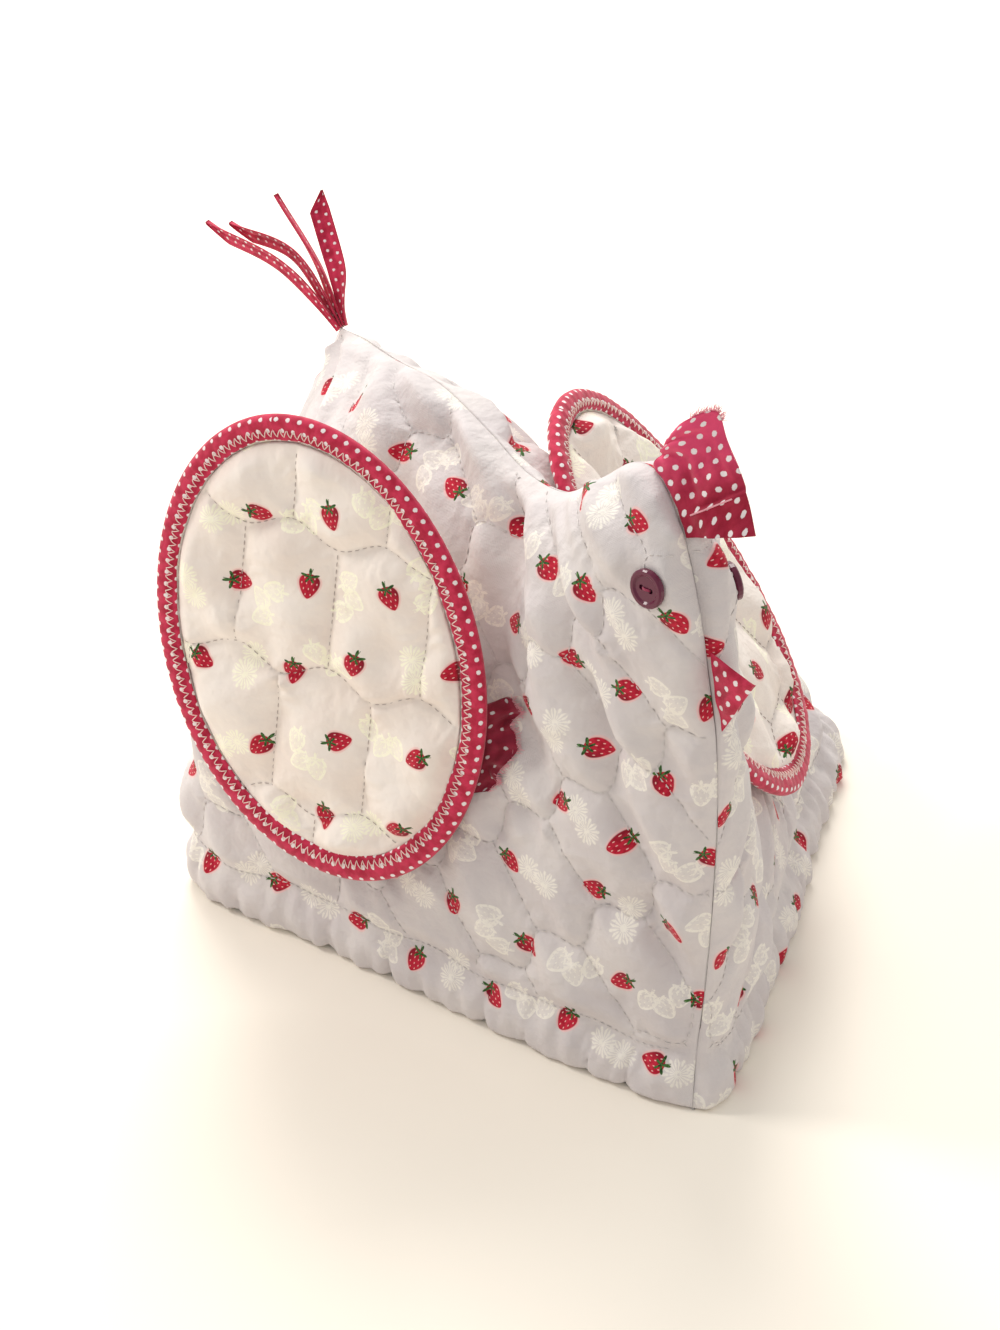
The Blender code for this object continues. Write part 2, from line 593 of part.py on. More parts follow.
for side, wing, word in ((-1, WING_RIGHT, "right"), (1, WING_LEFT, "left")):
    wing_pad("wing_" + word, wing, side,
             material("wing_cotton_" + word, (0.86, 0.83, 0.80), 0.9, 0.2))
    wing_binding("wing_binding_" + word, wing, pin_dot("binding_cotton_" + word, 1.0))


# ---------------------------------------------------------------- wing tab
def box_run(sections):
    """Points and faces of a closed strip from its rows of four-point sections."""
    points = np.concatenate([np.array(row, float) for row in sections])
    quads = ring_quads(len(sections), 4, False)
    last = 4 * (len(sections) - 1)
    quads.append((3, 2, 1, 0))
    quads.append((last, last + 1, last + 2, last + 3))
    return points, quads


def wing_tab(name, wing, panel, mat):
    """Strip of cloth across the space between the wing's back and the panel."""
    tree = BVHTree.FromPolygons([vert.co for vert in panel.data.vertices],
                                [poly.vertices for poly in panel.data.polygons])
    normal = wing_frame(wing)[3]
    top = -(PAD_EDGE / 2 + GAP + TAB_BEHIND)
    rows = []
    for t in np.linspace(-0.5, 0.5, 5):
        q = TAB_MIDDLE + t * TAB_TALL
        edge = WING_SHORT * math.sqrt(1.0 - (q / WING_LONG) ** 2)
        middle = TAB_INSET + TAB_WAVE[0] * math.cos(TAB_WAVE[1] * t) - edge
        starts = [wing_place(wing, np.array([middle + turn * TAB_THICK / 2]), np.array([q]),
                             np.array([top]))[0] for turn in (-1, 1)]
        reach = min(tree.ray_cast(Vector(start), Vector(-normal))[3] for start in starts)
        reach = reach - TAB_ROOM
        rows.append((starts[0], starts[1], starts[1] - normal * reach, starts[0] - normal * reach))
    points, quads = box_run(rows)
    return solid(name, points, quads, mat)


wing_tab("wing_tab", WING_RIGHT, bpy.data.objects["panel_right"], pin_dot("tab_cotton", 0.45))


# ---------------------------------------------------------------- comb
def comb(mat):
    """Fan of folded cloth: straight ribs from the seam to the outer edge, softly pleated."""
    share = np.linspace(0.0, 1.0, COMB_RIBS)
    root = spline([(x, 0.0, z) for x, z in COMB_ROOT], share)
    edge = spline(COMB_EDGE, share)
    tangent = np.gradient(root, axis=0)
    away = np.stack([tangent[:, 2], np.zeros(COMB_RIBS), -tangent[:, 0]], axis=1)
    away = away / np.linalg.norm(away, axis=1, keepdims=True)
    root = root + away * COMB_STANDS
    t = np.linspace(0.0, 1.0, COMB_STEPS)
    mid = root[:, None] + (edge - root)[:, None] * t[None, :, None]
    normal = np.cross(np.gradient(mid, axis=0), np.gradient(mid, axis=1))
    normal = normal / np.linalg.norm(normal, axis=2, keepdims=True)
    wave = COMB_WAVE * np.sin(share * 2 * math.pi * 2.0)[:, None] * ease(t, 0.15, 0.8)[None]
    tuck = COMB_TUCK * (1.0 - ease(share, 0.20, 0.30))[:, None] * ease(t, 0.1, 0.5)[None]
    thick = COMB_THICK / 2 * (0.5 + 0.5 * ease(t, 0.0, 0.25)) * (1.0 - 0.45 * ease(t, 0.75, 1.0))
    rows = []
    for k in range(COMB_RIBS):
        front = mid[k] + normal[k] * (wave[k] + thick - tuck[k])[:, None]
        back = mid[k] + normal[k] * (wave[k] - thick - tuck[k])[:, None]
        rows.append(np.concatenate([front, back[::-1]]))
    count = 2 * COMB_STEPS
    quads = ring_quads(COMB_RIBS, count, False)
    quads.append(tuple(range(count))[::-1])
    quads.append(tuple((COMB_RIBS - 1) * count + k for k in range(count)))
    return solid("comb", np.concatenate(rows), quads, mat)


comb(pin_dot("comb_cotton", 1.1))


# ---------------------------------------------------------------- beak
def beak(mat):
    """Folded triangle: lens sections that shrink from the seam to the tip."""
    top, low, tip = (np.array(q) for q in BEAK)
    turns = np.arange(BEAK_SIDES) * 2 * math.pi / BEAK_SIDES
    rows = []
    for t in (0.0, 0.3, 0.6, 0.85, 0.985):
        a = top + (tip - top) * t
        b = low + (tip - low) * t
        middle = (a + b) / 2
        half = (a - b) / 2
        side = np.cross(half / np.linalg.norm(half), (tip - (top + low) / 2))
        side = side / np.linalg.norm(side)
        fat = BEAK_THICK / 2 * (0.30 + 0.70 * ease(t, 0.0, 0.45)) * (1.0 - 0.62 * t)
        rows.append([middle + half * math.cos(w) + side * fat * math.sin(w) for w in turns])
    last = (len(rows) - 1) * BEAK_SIDES
    quads = ring_quads(len(rows), BEAK_SIDES, False)
    quads.append(tuple(range(BEAK_SIDES))[::-1])
    quads.append(tuple(last + k for k in range(BEAK_SIDES)))
    return solid("beak", np.concatenate([np.array(row) for row in rows]), quads, mat)


beak(pin_dot("beak_cotton", 1.0))


# ---------------------------------------------------------------- button eyes
def seat(panel, side, eye):
    """Middle and outward direction of a button laid on the head, clear of the cloth."""
    tree = BVHTree.FromPolygons([vert.co for vert in panel.data.vertices],
                                [poly.vertices for poly in panel.data.polygons])
    inward = Vector((0.0, -side, 0.0))
    turns = [k * math.pi / 8 for k in range(16)]
    spots = [(eye[0], eye[1])]
    spots += [(eye[0] + EYE_DISC / 3 * math.cos(w), eye[1] + EYE_DISC / 3 * math.sin(w))
              for w in turns]
    found = [tree.ray_cast(Vector((x, side * 0.2, z)), inward) for x, z in spots]
    way = sum((hit[1] for hit in found), Vector()) / len(found)
    way = (way + Vector((0.0, side * EYE_TILT, 0.0))).normalized()
    middle = found[0][0]
    one = way.orthogonal().normalized()
    two = way.cross(one)
    rise = 0.0
    half = EYE_DISC / 2
    for radius, lower in ((0.0, 0.0), (half / 2, 0.0), (half - EYE_BEVEL, 0.0), (half, EYE_BEVEL)):
        for w in turns:
            out = (one * math.cos(w) + two * math.sin(w)) * radius
            start = middle + out + way * 0.02
            rise = max(rise, 0.02 - lower - tree.ray_cast(start, -way)[3])
    return middle + way * (rise + EYE_ROOM), way


def button(name, middle, way, mat):
    """Turned disc with a dished face, two thread holes cut through it."""
    half = EYE_DISC / 2
    profile = ((0.0, EYE_THICK - EYE_DISH), (half - EYE_RIM - 0.0008, EYE_THICK - EYE_DISH),
               (half - EYE_RIM, EYE_THICK), (half - EYE_BEVEL, EYE_THICK),
               (half, EYE_THICK - EYE_BEVEL), (half, EYE_BEVEL), (half - EYE_BEVEL, 0.0),
               (0.0, 0.0))
    mesh = bpy.data.meshes.new(name)
    mesh.from_pydata([(x, 0.0, z) for x, z in profile], [(k, k + 1) for k in range(7)], [])
    obj = bpy.data.objects.new(name, mesh)
    spin = obj.modifiers.new("turn", "SCREW")
    spin.steps = 24
    spin.render_steps = 24
    spin.use_merge_vertices = True
    spin.merge_threshold = 0.00001
    for turn in (-1, 1):
        cut = bmesh.new()
        bmesh.ops.create_cone(cut, cap_ends=True, segments=10, radius1=EYE_HOLE / 2,
                              radius2=EYE_HOLE / 2, depth=0.02)
        bmesh.ops.translate(cut, verts=cut.verts, vec=(turn * EYE_PITCH / 2, 0, 0))
        hole = bpy.data.objects.new(name + "_cutter", bpy.data.meshes.new(name + "_cutter"))
        cut.to_mesh(hole.data)
        cut.free()
        hole.hide_render = True
        hole.display_type = "WIRE"
        hole.rotation_mode = "QUATERNION"
        hole.rotation_quaternion = way.to_track_quat("Z", "Y")
        hole.location = middle
        cutters.objects.link(hole)
        drill = obj.modifiers.new("hole", "BOOLEAN")
        drill.operation = "DIFFERENCE"
        drill.object = hole
    obj.rotation_mode = "QUATERNION"
    obj.rotation_quaternion = way.to_track_quat("Z", "Y")
    obj.location = middle
    keep(obj, mat)
    return obj


for side, word, eye in ((-1, "right", EYE_RIGHT), (1, "left", EYE_LEFT)):
    middle, way = seat(bpy.data.objects["panel_" + word], side, eye)
    button("eye_" + word, middle, way, material("button_" + word, (0.10, 0.012, 0.03), 0.25, 0.0))


# ---------------------------------------------------------------- tail ribbons
def ribbon(name, root, middle, tip, across_root, across_tip, mat):
    """Flat strip on a curve through three points, turning about it from root to tip."""
    share = np.linspace(0.0, 1.0, RIBBON_STEPS)
    line = spline((root, middle, tip), share)
    run = np.gradient(line, axis=0)
    run = run / np.linalg.norm(run, axis=1, keepdims=True)
    rows = []
    for k in range(len(share)):
        turn = ease(share[k], 0.0, 0.7)
        across = np.array(across_root) * (1 - turn) + np.array(across_tip) * turn
        across = across - run[k] * (across @ run[k])
        across = across / np.linalg.norm(across) * RIBBON_WIDE / 2
        normal = np.cross(run[k], across)
        normal = normal / np.linalg.norm(normal) * RIBBON_THICK / 2
        p = line[k]
        rows.append((p - across - normal, p + across - normal, p + across + normal,
                     p - across + normal))
    points, quads = box_run(rows)
    return solid(name, points, quads, mat)


for count, row in enumerate(RIBBONS, 1):
    ribbon("tail_ribbon_%d" % count, *row, pin_dot("ribbon_cotton_%d" % count, 1.0))


# ---------------------------------------------------------------- origin
base = bpy.data.objects.new("cosy_origin", None)
base.location = [-value for value in ORIGIN]
scene.collection.objects.link(base)
for obj in list(cosy.objects) + list(cutters.objects):
    obj.parent = base
bpy.context.view_layer.update()
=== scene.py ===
import math
from functools import partialmethod, reduce
import bpy
import numpy as np
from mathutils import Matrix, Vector
from mathutils.bvhtree import BVHTree


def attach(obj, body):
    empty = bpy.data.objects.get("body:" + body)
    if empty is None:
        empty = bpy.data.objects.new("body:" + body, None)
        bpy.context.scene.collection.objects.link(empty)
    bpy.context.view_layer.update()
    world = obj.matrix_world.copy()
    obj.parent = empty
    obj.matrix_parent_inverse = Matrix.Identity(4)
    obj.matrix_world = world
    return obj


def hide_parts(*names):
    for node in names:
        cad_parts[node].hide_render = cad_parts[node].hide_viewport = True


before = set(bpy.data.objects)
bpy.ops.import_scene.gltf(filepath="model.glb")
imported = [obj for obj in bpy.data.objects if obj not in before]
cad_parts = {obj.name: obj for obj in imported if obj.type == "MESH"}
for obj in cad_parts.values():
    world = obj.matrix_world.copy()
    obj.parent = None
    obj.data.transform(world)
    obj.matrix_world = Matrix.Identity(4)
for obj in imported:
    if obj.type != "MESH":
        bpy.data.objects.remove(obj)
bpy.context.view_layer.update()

# ================================================================ side panels
# Two hen-shaped panels of quilted cotton: printed cotton outside, thin wadding, plain cotton
# lining.  They are cut alike, sewn together along the breast, ridge, tail and back, turned, and
# left open at the rolled hem on which the cosy stands.
SIDES = ((-1, "right"), (1, "left"))
MIDDLE = np.array([0.1790, -0.0350, 0.0])   # from the breast's corner on the hem to the middle
SEAM_GAP = 0.0001


def mm(rows):
    """A table in metres from one in millimetres."""
    return np.array(rows) / 1000


FRONT = mm(((-7, -9.5, 0), (-12, -5, 22), (-13.5, -1.5, 50), (-13, 0, 90), (-12.5, 0, 135),
            (-15, 0, 168), (-20, 0, 188), (-26, 0, 209), (-33, 0, 229), (-41, 0, 244),
            (-50, 0, 255)))
RIDGE = mm(((-50, 255), (-62, 261), (-76, 257), (-95, 241), (-118, 223), (-145, 218), (-175, 223),
            (-210, 226.5), (-245, 221.5), (-272, 219), (-292, 215)))
BACK = mm(((-278, 38, 0), (-286, 31, 40), (-296, 20, 90), (-304, 8, 140), (-306, 2, 175),
           (-301, 0, 200), (-292, 0, 215)))
HEM_LINE = {-1: mm(((-7, -9.5), (-18, -18), (-33, -26), (-70, -43), (-123, -63), (-184, -88),
                    (-218, -105), (-242, -107), (-257, -88), (-266, -50), (-275, 0), (-278, 38))),
            1: mm(((-7, -9.5), (-3, -4), (-6, 5), (-24, 29), (-50, 58), (-80, 93), (-124, 138),
                   (-156, 174), (-178, 190), (-200, 190), (-223, 170), (-256, 108), (-278, 38)))}
# along each panel from breast to back: power of its rounded section, then its shares of the hem
# and of the ridge
ROUND = {-1: ((0.0, 1.50), (0.14, 1.70), (0.30, 1.50), (0.55, 1.55), (0.68, 1.80), (0.85, 1.60),
              (1.0, 1.45)),
         1: ((0.0, 1.50), (0.14, 1.60), (0.30, 1.25), (0.50, 1.12), (0.70, 1.08), (0.85, 1.15),
             (1.0, 1.35))}
HEM_SHARE = ((0.0, 0.0), (0.25, 0.17), (0.50, 0.40), (0.70, 0.66), (0.85, 0.82), (1.0, 1.0))
RIDGE_SHARE = ((0.0, 0.0), (0.25, 0.24), (0.50, 0.50), (0.70, 0.74), (0.85, 0.88), (1.0, 1.0))
# blunt breast beside the seam: height, forward push, sideways push
SWELL = {-1: mm(((0, 0, 0), (150, 1, 0), (205, 6, 3), (240, 6, 3), (262, 1, 0))),
         1: mm(((0, 0, 0), (40, -4, -3), (130, -4, -4), (170, 1, -1), (205, 4, 1), (240, 5, 2),
                (262, 1, 0)))}
SWELL_REACH = 0.013
HEAD_FULL = {-1: 0.0120, 1: 0.0075}
HEAD_AT, HEAD_REACH = (-0.066, 0.226), (0.050, 0.044)
# soft folds: depth (minus is a valley) and half width, then x, z of the points along it
FOLDS = {
    -1: (mm(((-7.0, 10.0), (-136, 222), (-129, 195), (-123, 172), (-115, 150), (-97, 133),
             (-76, 118))),
         mm(((-3.4, 6.5), (-74, 184), (-62, 166), (-53, 143), (-45, 124), (-38, 108), (-33, 85))),
         mm(((-2.8, 7.0), (-60, 98), (-48, 81), (-34, 85), (-25, 68), (-16, 45))),
         mm(((-2.5, 7.0), (-90, 94), (-80, 81), (-66, 58))),
         mm(((3.5, 17.0), (-92, 200), (-90, 165), (-78, 140))),
         mm(((-4.0, 12.0), (-180, 224), (-192, 198), (-206, 170))),
         mm(((-3.0, 11.0), (-235, 222), (-238, 190), (-236, 150)))),
    1: (mm(((-8.5, 13.0), (-120, 232), (-120, 200), (-112, 160), (-96, 115))),
        mm(((-3.5, 12.0), (-210, 205), (-190, 150), (-175, 100))))}
# quilting: cell width, row spacing, half height of the wave, turn on the cloth, a row's crest
QUILT_PANEL = (0.0330, 0.0525, 0.0060, 0.7160, (-0.0635, 0.1365))
WADDING = 0.0032                          # thickness of a panel where nothing puffs it up
CELL_HIGH, CELL_REACH = 0.0047, 0.0085    # the puff between the quilting lines
SEWN_HIGH, SEWN_REACH = 0.0028, 0.0080    # the same under what is sewn on
ROLL_HIGH, ROLL_AT = 0.0036, 0.0100       # the rolled hem, below its quilting row
HEM_ROW = 0.0240
PLEAT_LONG, PLEAT_DEEP = 0.025, 0.0034    # pleats of the hem, and the small gathers between them
GATHER_LONG, HEM_GATHER = 0.0115, {-1: 0.0007, 1: 0.0021}
# flatter places under what is sewn on: x, z and reach of each eye, the beak and the comb's foot
SEWN_ON = {-1: mm(((-37, 228.7, 13), (-12, 188, 15), (-50, 252, 12))),
           1: mm(((-40, 217, 13), (-12, 188, 21), (-50, 252, 15)))}


def spline(rows, where):
    """Catmull-Rom curve through the rows at the shares of chord length `where`, 0 to 1."""
    p = np.array(rows, float)
    s = np.concatenate(([0.0], np.cumsum(np.linalg.norm(np.diff(p, axis=0), axis=1))))
    s = s / s[-1]
    m = np.zeros_like(p)
    m[1:-1] = (p[2:] - p[:-2]) / (s[2:] - s[:-2])[:, None]
    m[0] = (p[1] - p[0]) / (s[1] - s[0])
    m[-1] = (p[-1] - p[-2]) / (s[-1] - s[-2])
    w = np.clip(np.asarray(where, float), 0.0, 1.0)
    k = np.clip(np.searchsorted(s, w, side="right") - 1, 0, len(s) - 2)
    h = (s[k + 1] - s[k])[..., None]
    t = (w - s[k])[..., None] / h
    return ((1 + 2 * t) * (1 - t) ** 2 * p[k] + t * (1 - t) ** 2 * h * m[k]
            + t * t * (3 - 2 * t) * p[k + 1] + t * t * (t - 1) * h * m[k + 1])


def table(rows, where):
    """Straight interpolation in a table of two columns."""
    return np.interp(where, *np.transpose(rows))


def ease(x, low, high):
    """Smooth step from 0 at low to 1 at high: t t (3 - 2 t)."""
    t = np.clip((x - low) / (high - low), 0.0, 1.0)
    return t * t * (3 - 2 * t)


def bell(x, width, power=2):
    """Bell curve e^-(x / width)^power."""
    return np.exp(-(x / width) ** power)


def unit(vectors):
    """The same directions, each one long."""
    return vectors / np.maximum(np.linalg.norm(vectors, axis=-1, keepdims=True), 1e-9)


def quilt_frame(a, b, quilt):
    """Turned place on the cloth: p along the wavy rows and q up across them."""
    turn, crest = quilt[3], quilt[4]
    return (a * math.cos(turn) - b * math.sin(turn) - crest[0],
            a * math.sin(turn) + b * math.cos(turn) - crest[1])


def quilt_lines(a, b, quilt):
    """Distances to the nearest wavy row, q = k H + A cos(2 pi (p / W - k / 2)) for whole k, and to
    the nearest of the straight lines at whole p / W - k / 2 that join crest to trough."""
    width, height, wave = quilt[:3]
    p, q = quilt_frame(a, b, quilt)
    best = np.full(np.shape(p), 1.0)
    k0 = np.floor(q / height)
    below = k0 - 1.0
    for step in (-1.0, 0.0, 1.0, 2.0):
        k = k0 + step
        phase = 2 * math.pi * (p / width - k / 2.0)
        line = k * height + wave * np.cos(phase)
        slope = wave * 2 * math.pi / width * np.sin(phase)
        best = np.minimum(best, np.abs(q - line) / np.sqrt(1.0 + slope ** 2))
        below = np.where(q >= line, k, below)
    phase = p / width - below / 2.0
    return best, np.abs(phase - np.round(phase)) * width


def pinches(a, b, quilt, seed, pitch, reach):
    """Small pleats that stand across the quilting lines and die out over `reach` from them:
    (1 - |sin|)(e^-(d / reach)^1.3) along p beside the rows and along q beside the joins."""
    p, q = quilt_frame(a, b, quilt)
    row, join = quilt_lines(a, b, quilt)
    drift = 1.6 * ripple(a, b, seed, 0.030, 6)
    strong = 0.6 + 0.4 * ripple(a, b, seed + 1, 0.024, 6)
    return strong * sum((1.0 - np.abs(np.sin(math.pi * along / pitch + drift)))
                        * bell(away, reach, 1.3) for along, away in ((p, row), (q, join)))


def ripple(a, b, seed, length, count):
    """Sum of `count` cosines across the cloth, in random directions, about `length` long."""
    rng = np.random.default_rng(seed)
    a, b = np.broadcast_arrays(a, b)
    total = np.zeros(a.shape)
    for way, turn, size in zip(rng.uniform(0, math.pi, count), rng.uniform(0, 6.28, count),
                               rng.uniform(0.7, 1.4, count)):
        across = (a * math.cos(way) + b * math.sin(way)) / length / size
        total += np.cos(2 * math.pi * across + turn)
    return total / math.sqrt(count / 2)


def path_distance(x, z, points):
    """Distance from x, z to a run of straight pieces, and the share along it of the nearest."""
    best, share = np.full(np.shape(x), 1.0), np.zeros(np.shape(x))
    for k, ((ax, az), (bx, bz)) in enumerate(zip(points[:-1], points[1:])):
        length = (bx - ax) ** 2 + (bz - az) ** 2
        t = np.clip(((x - ax) * (bx - ax) + (z - az) * (bz - az)) / length, 0.0, 1.0)
        d = np.hypot(x - ax - t * (bx - ax), z - az - t * (bz - az))
        share = np.where(d < best, (k + t) / (len(points) - 1), share)
        best = np.minimum(best, d)
    return best, share


def run_lengths(grid, axis):
    """Lengths measured along one axis of a grid of points, from its first row."""
    step = np.linalg.norm(np.diff(grid, axis=axis), axis=2)
    return np.insert(np.cumsum(step, axis=axis), 0, 0.0, axis=axis)


def normals(grid):
    """Unit normals of a grid of points: cross product of its two directions."""
    return unit(np.cross(np.gradient(grid, axis=0), np.gradient(grid, axis=1)))


def panel_form(side, u, v):
    """Smooth outer surface of a panel.  Each column is the rounded section
    R + (H - R) cos(w)^p across and R sin(w)^p up from the hem point H to the ridge point R,
    stepped evenly along its length; the end columns are drawn to the breast and back seams, the
    breast and the head are pushed out beside the seam."""
    hem = spline(HEM_LINE[side], table(HEM_SHARE, u))
    ridge = spline(RIDGE, table(RIDGE_SHARE, u))
    power = 2.0 / table(ROUND[side], u)[:, None]
    w = np.linspace(0.0, math.pi / 2, 241)[None]
    c, s = np.cos(w) ** power, np.sin(w) ** power
    c[:, -1] = 0.0
    col = np.stack([ridge[:, :1] + (hem[:, :1] - ridge[:, :1]) * c, hem[:, 1:] * c,
                    ridge[:, 1:] * s], axis=2)
    run = run_lengths(col, 1)
    want = v[None] * run[:, -1:]
    k = np.clip((run[:, None, :] <= want[:, :, None]).sum(axis=2) - 1, 0, 239)
    low = np.take_along_axis(run, k, 1)
    t = ((want - low) / (np.take_along_axis(run, k + 1, 1) - low))[:, :, None]
    out = (np.take_along_axis(col, k[:, :, None], 1) * (1 - t)
           + np.take_along_axis(col, k[:, :, None] + 1, 1) * t)
    first = (1.0 - ease(u, 0.0, 0.40))[:, None, None]
    last = ease(u, 0.55, 1.0)[:, None, None]
    out = out + first * (spline(FRONT, v) - out[0])[None] + last * (spline(BACK, v) - out[-1])[None]
    along = run_lengths(out, 0)
    push = along / SWELL_REACH * np.exp(1.0 - along / SWELL_REACH)
    swell = SWELL[side]
    out[:, :, 0] += push * np.interp(out[:, :, 2], swell[:, 0], swell[:, 1])
    out[:, :, 1] += push * side * np.interp(out[:, :, 2], swell[:, 0], swell[:, 2])
    up = run_lengths(out, 1)
    edge = np.minimum(along, up[:, -1:] - up)
    head = (bell(out[:, :, 0] - HEAD_AT[0], HEAD_REACH[0])
            * bell(out[:, :, 2] - HEAD_AT[1], HEAD_REACH[1]))
    out[:, :, 1] += side * HEAD_FULL[side] * head * (1.0 - bell(edge, 0.009))
    return out


# wings are named here because the cloth under them gives way: centre, outward normal, long axis,
# lift of the front edge away from the body
WING_LONG = 0.0980
WING_SHORT = 0.0720
WING = {-1: ((-0.1671, -0.0820, 0.1505), (0.520, -0.842, 0.141), (-0.275, -0.008, 0.961), 0.0),
        1: ((-0.1397, 0.0715, 0.1409), (0.555, 0.620, 0.554), (-0.348, -0.432, 0.832), 0.0038)}
GIVE_WAY = 0.0036       # how far under a wing's middle layer the panel keeps
BUTTON_ROOM = 0.00035   # between the panel and a button's back


def wing_frame(side):
    """Centre and unit axes of a wing: across it, along it and outwards."""
    centre, normal, axis = (np.array(q, float) for q in WING[side][:3])
    normal = unit(normal)
    axis = unit(axis - normal * (axis @ normal))
    return centre, np.cross(normal, axis), axis, normal


def pressed(points, side):
    """How far a panel gives way under its wing: down to GIVE_WAY below the wing's middle layer."""
    centre, across, along, normal = wing_frame(side)
    rel = points - centre
    p = rel @ across
    reach = np.hypot(p / (WING_SHORT + 0.006), rel @ along / (WING_LONG + 0.006))
    level = WING[side][3] * np.maximum(p / WING_SHORT, 0.0) ** 2 - GIVE_WAY
    give = np.maximum(rel @ normal - level, 0.0) * (1.0 - ease(reach, 0.93, 1.13))
    return give[:, :, None] * normal


def seam_line(x, z):
    """Sideways place of the seam at the breast, along the ridge and at the back."""
    front, back = table(FRONT[:4, [2, 1]], z), table(BACK[:5, [2, 1]], z)
    return np.where(x > -0.06, front, np.where((x < -0.24) & (z <= 0.2), back, 0.0))


def hem_row(a):
    """Height above the hem of the lowest quilting row, which wanders a little."""
    turn = 2 * math.pi * a
    return HEM_ROW + 0.0011 * np.cos(turn / 0.066 + 0.8) + 0.0007 * np.cos(turn / 0.041)


def button_plane(side):
    """Middle of a button eye, the way it faces, and how far its back lies from that middle: the
    direction in which its points spread least."""
    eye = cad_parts["eye_" + dict(SIDES)[side]]
    points = np.array([v.co for v in eye.data.vertices])
    middle = (points.min(axis=0) + points.max(axis=0)) / 2
    way = np.linalg.svd(points - points.mean(axis=0), full_matrices=False)[2][2]
    way = way * np.sign(way[1]) * side
    return middle, way, ((points - middle) @ way).min()


def drawn_to_button(points, side):
    """How far the cloth comes up or goes down to lie along the back of the button sewn on it."""
    middle, way, back = button_plane(side)
    rel = points + MIDDLE - middle
    high = rel @ way
    away = np.linalg.norm(rel - high[:, :, None] * way, axis=2)
    near = (1.0 - ease(away, 0.0068, 0.0175)) * (np.abs(high) < 0.020)
    return ((back - BUTTON_ROOM - high) * near)[:, :, None] * way


def laid_flat(grid, a, b):
    """Places of the panel's points on the printed cloth before it was cut: from a, b, the sides
    and diagonals of a net on the cloth are brought towards their lengths on the body, round by
    round, first on a coarse net and then on a finer one, with straight interpolation between."""
    flat = np.stack([a, b], axis=2)
    part, front, rest = slice(None), slice(None, -1), slice(1, None)
    joins = (((front, part), (rest, part)), ((part, front), (part, rest)),
             ((front, front), (rest, rest)), ((rest, front), (front, rest)))
    for net, rounds in (((25, 17), 600), ((68, 45), 300)):
        i, j = [np.linspace(0, size - 1, count).round().astype(int)
                for size, count in zip(a.shape, net)]
        body, place = grid[np.ix_(i, j)], flat[np.ix_(i, j)]
        lengths = [np.linalg.norm(body[q] - body[p], axis=2) for p, q in joins]
        for _ in range(rounds):
            move = np.zeros_like(place)
            for (p, q), length in zip(joins, lengths):
                gap = place[q] - place[p]
                size = np.linalg.norm(gap, axis=2)
                pull = gap * (0.12 * (size - length) / size)[:, :, None]
                move[p] += pull
                move[q] -= pull
            place = place + move
        wide = np.stack([[np.interp(np.arange(a.shape[1]), j, row[:, k]) for row in place]
                         for k in (0, 1)], axis=2)
        flat = np.stack([[np.interp(np.arange(a.shape[0]), i, wide[:, m, k])
                          for m in range(a.shape[1])] for k in (0, 1)], axis=2).transpose(1, 0, 2)
    return flat


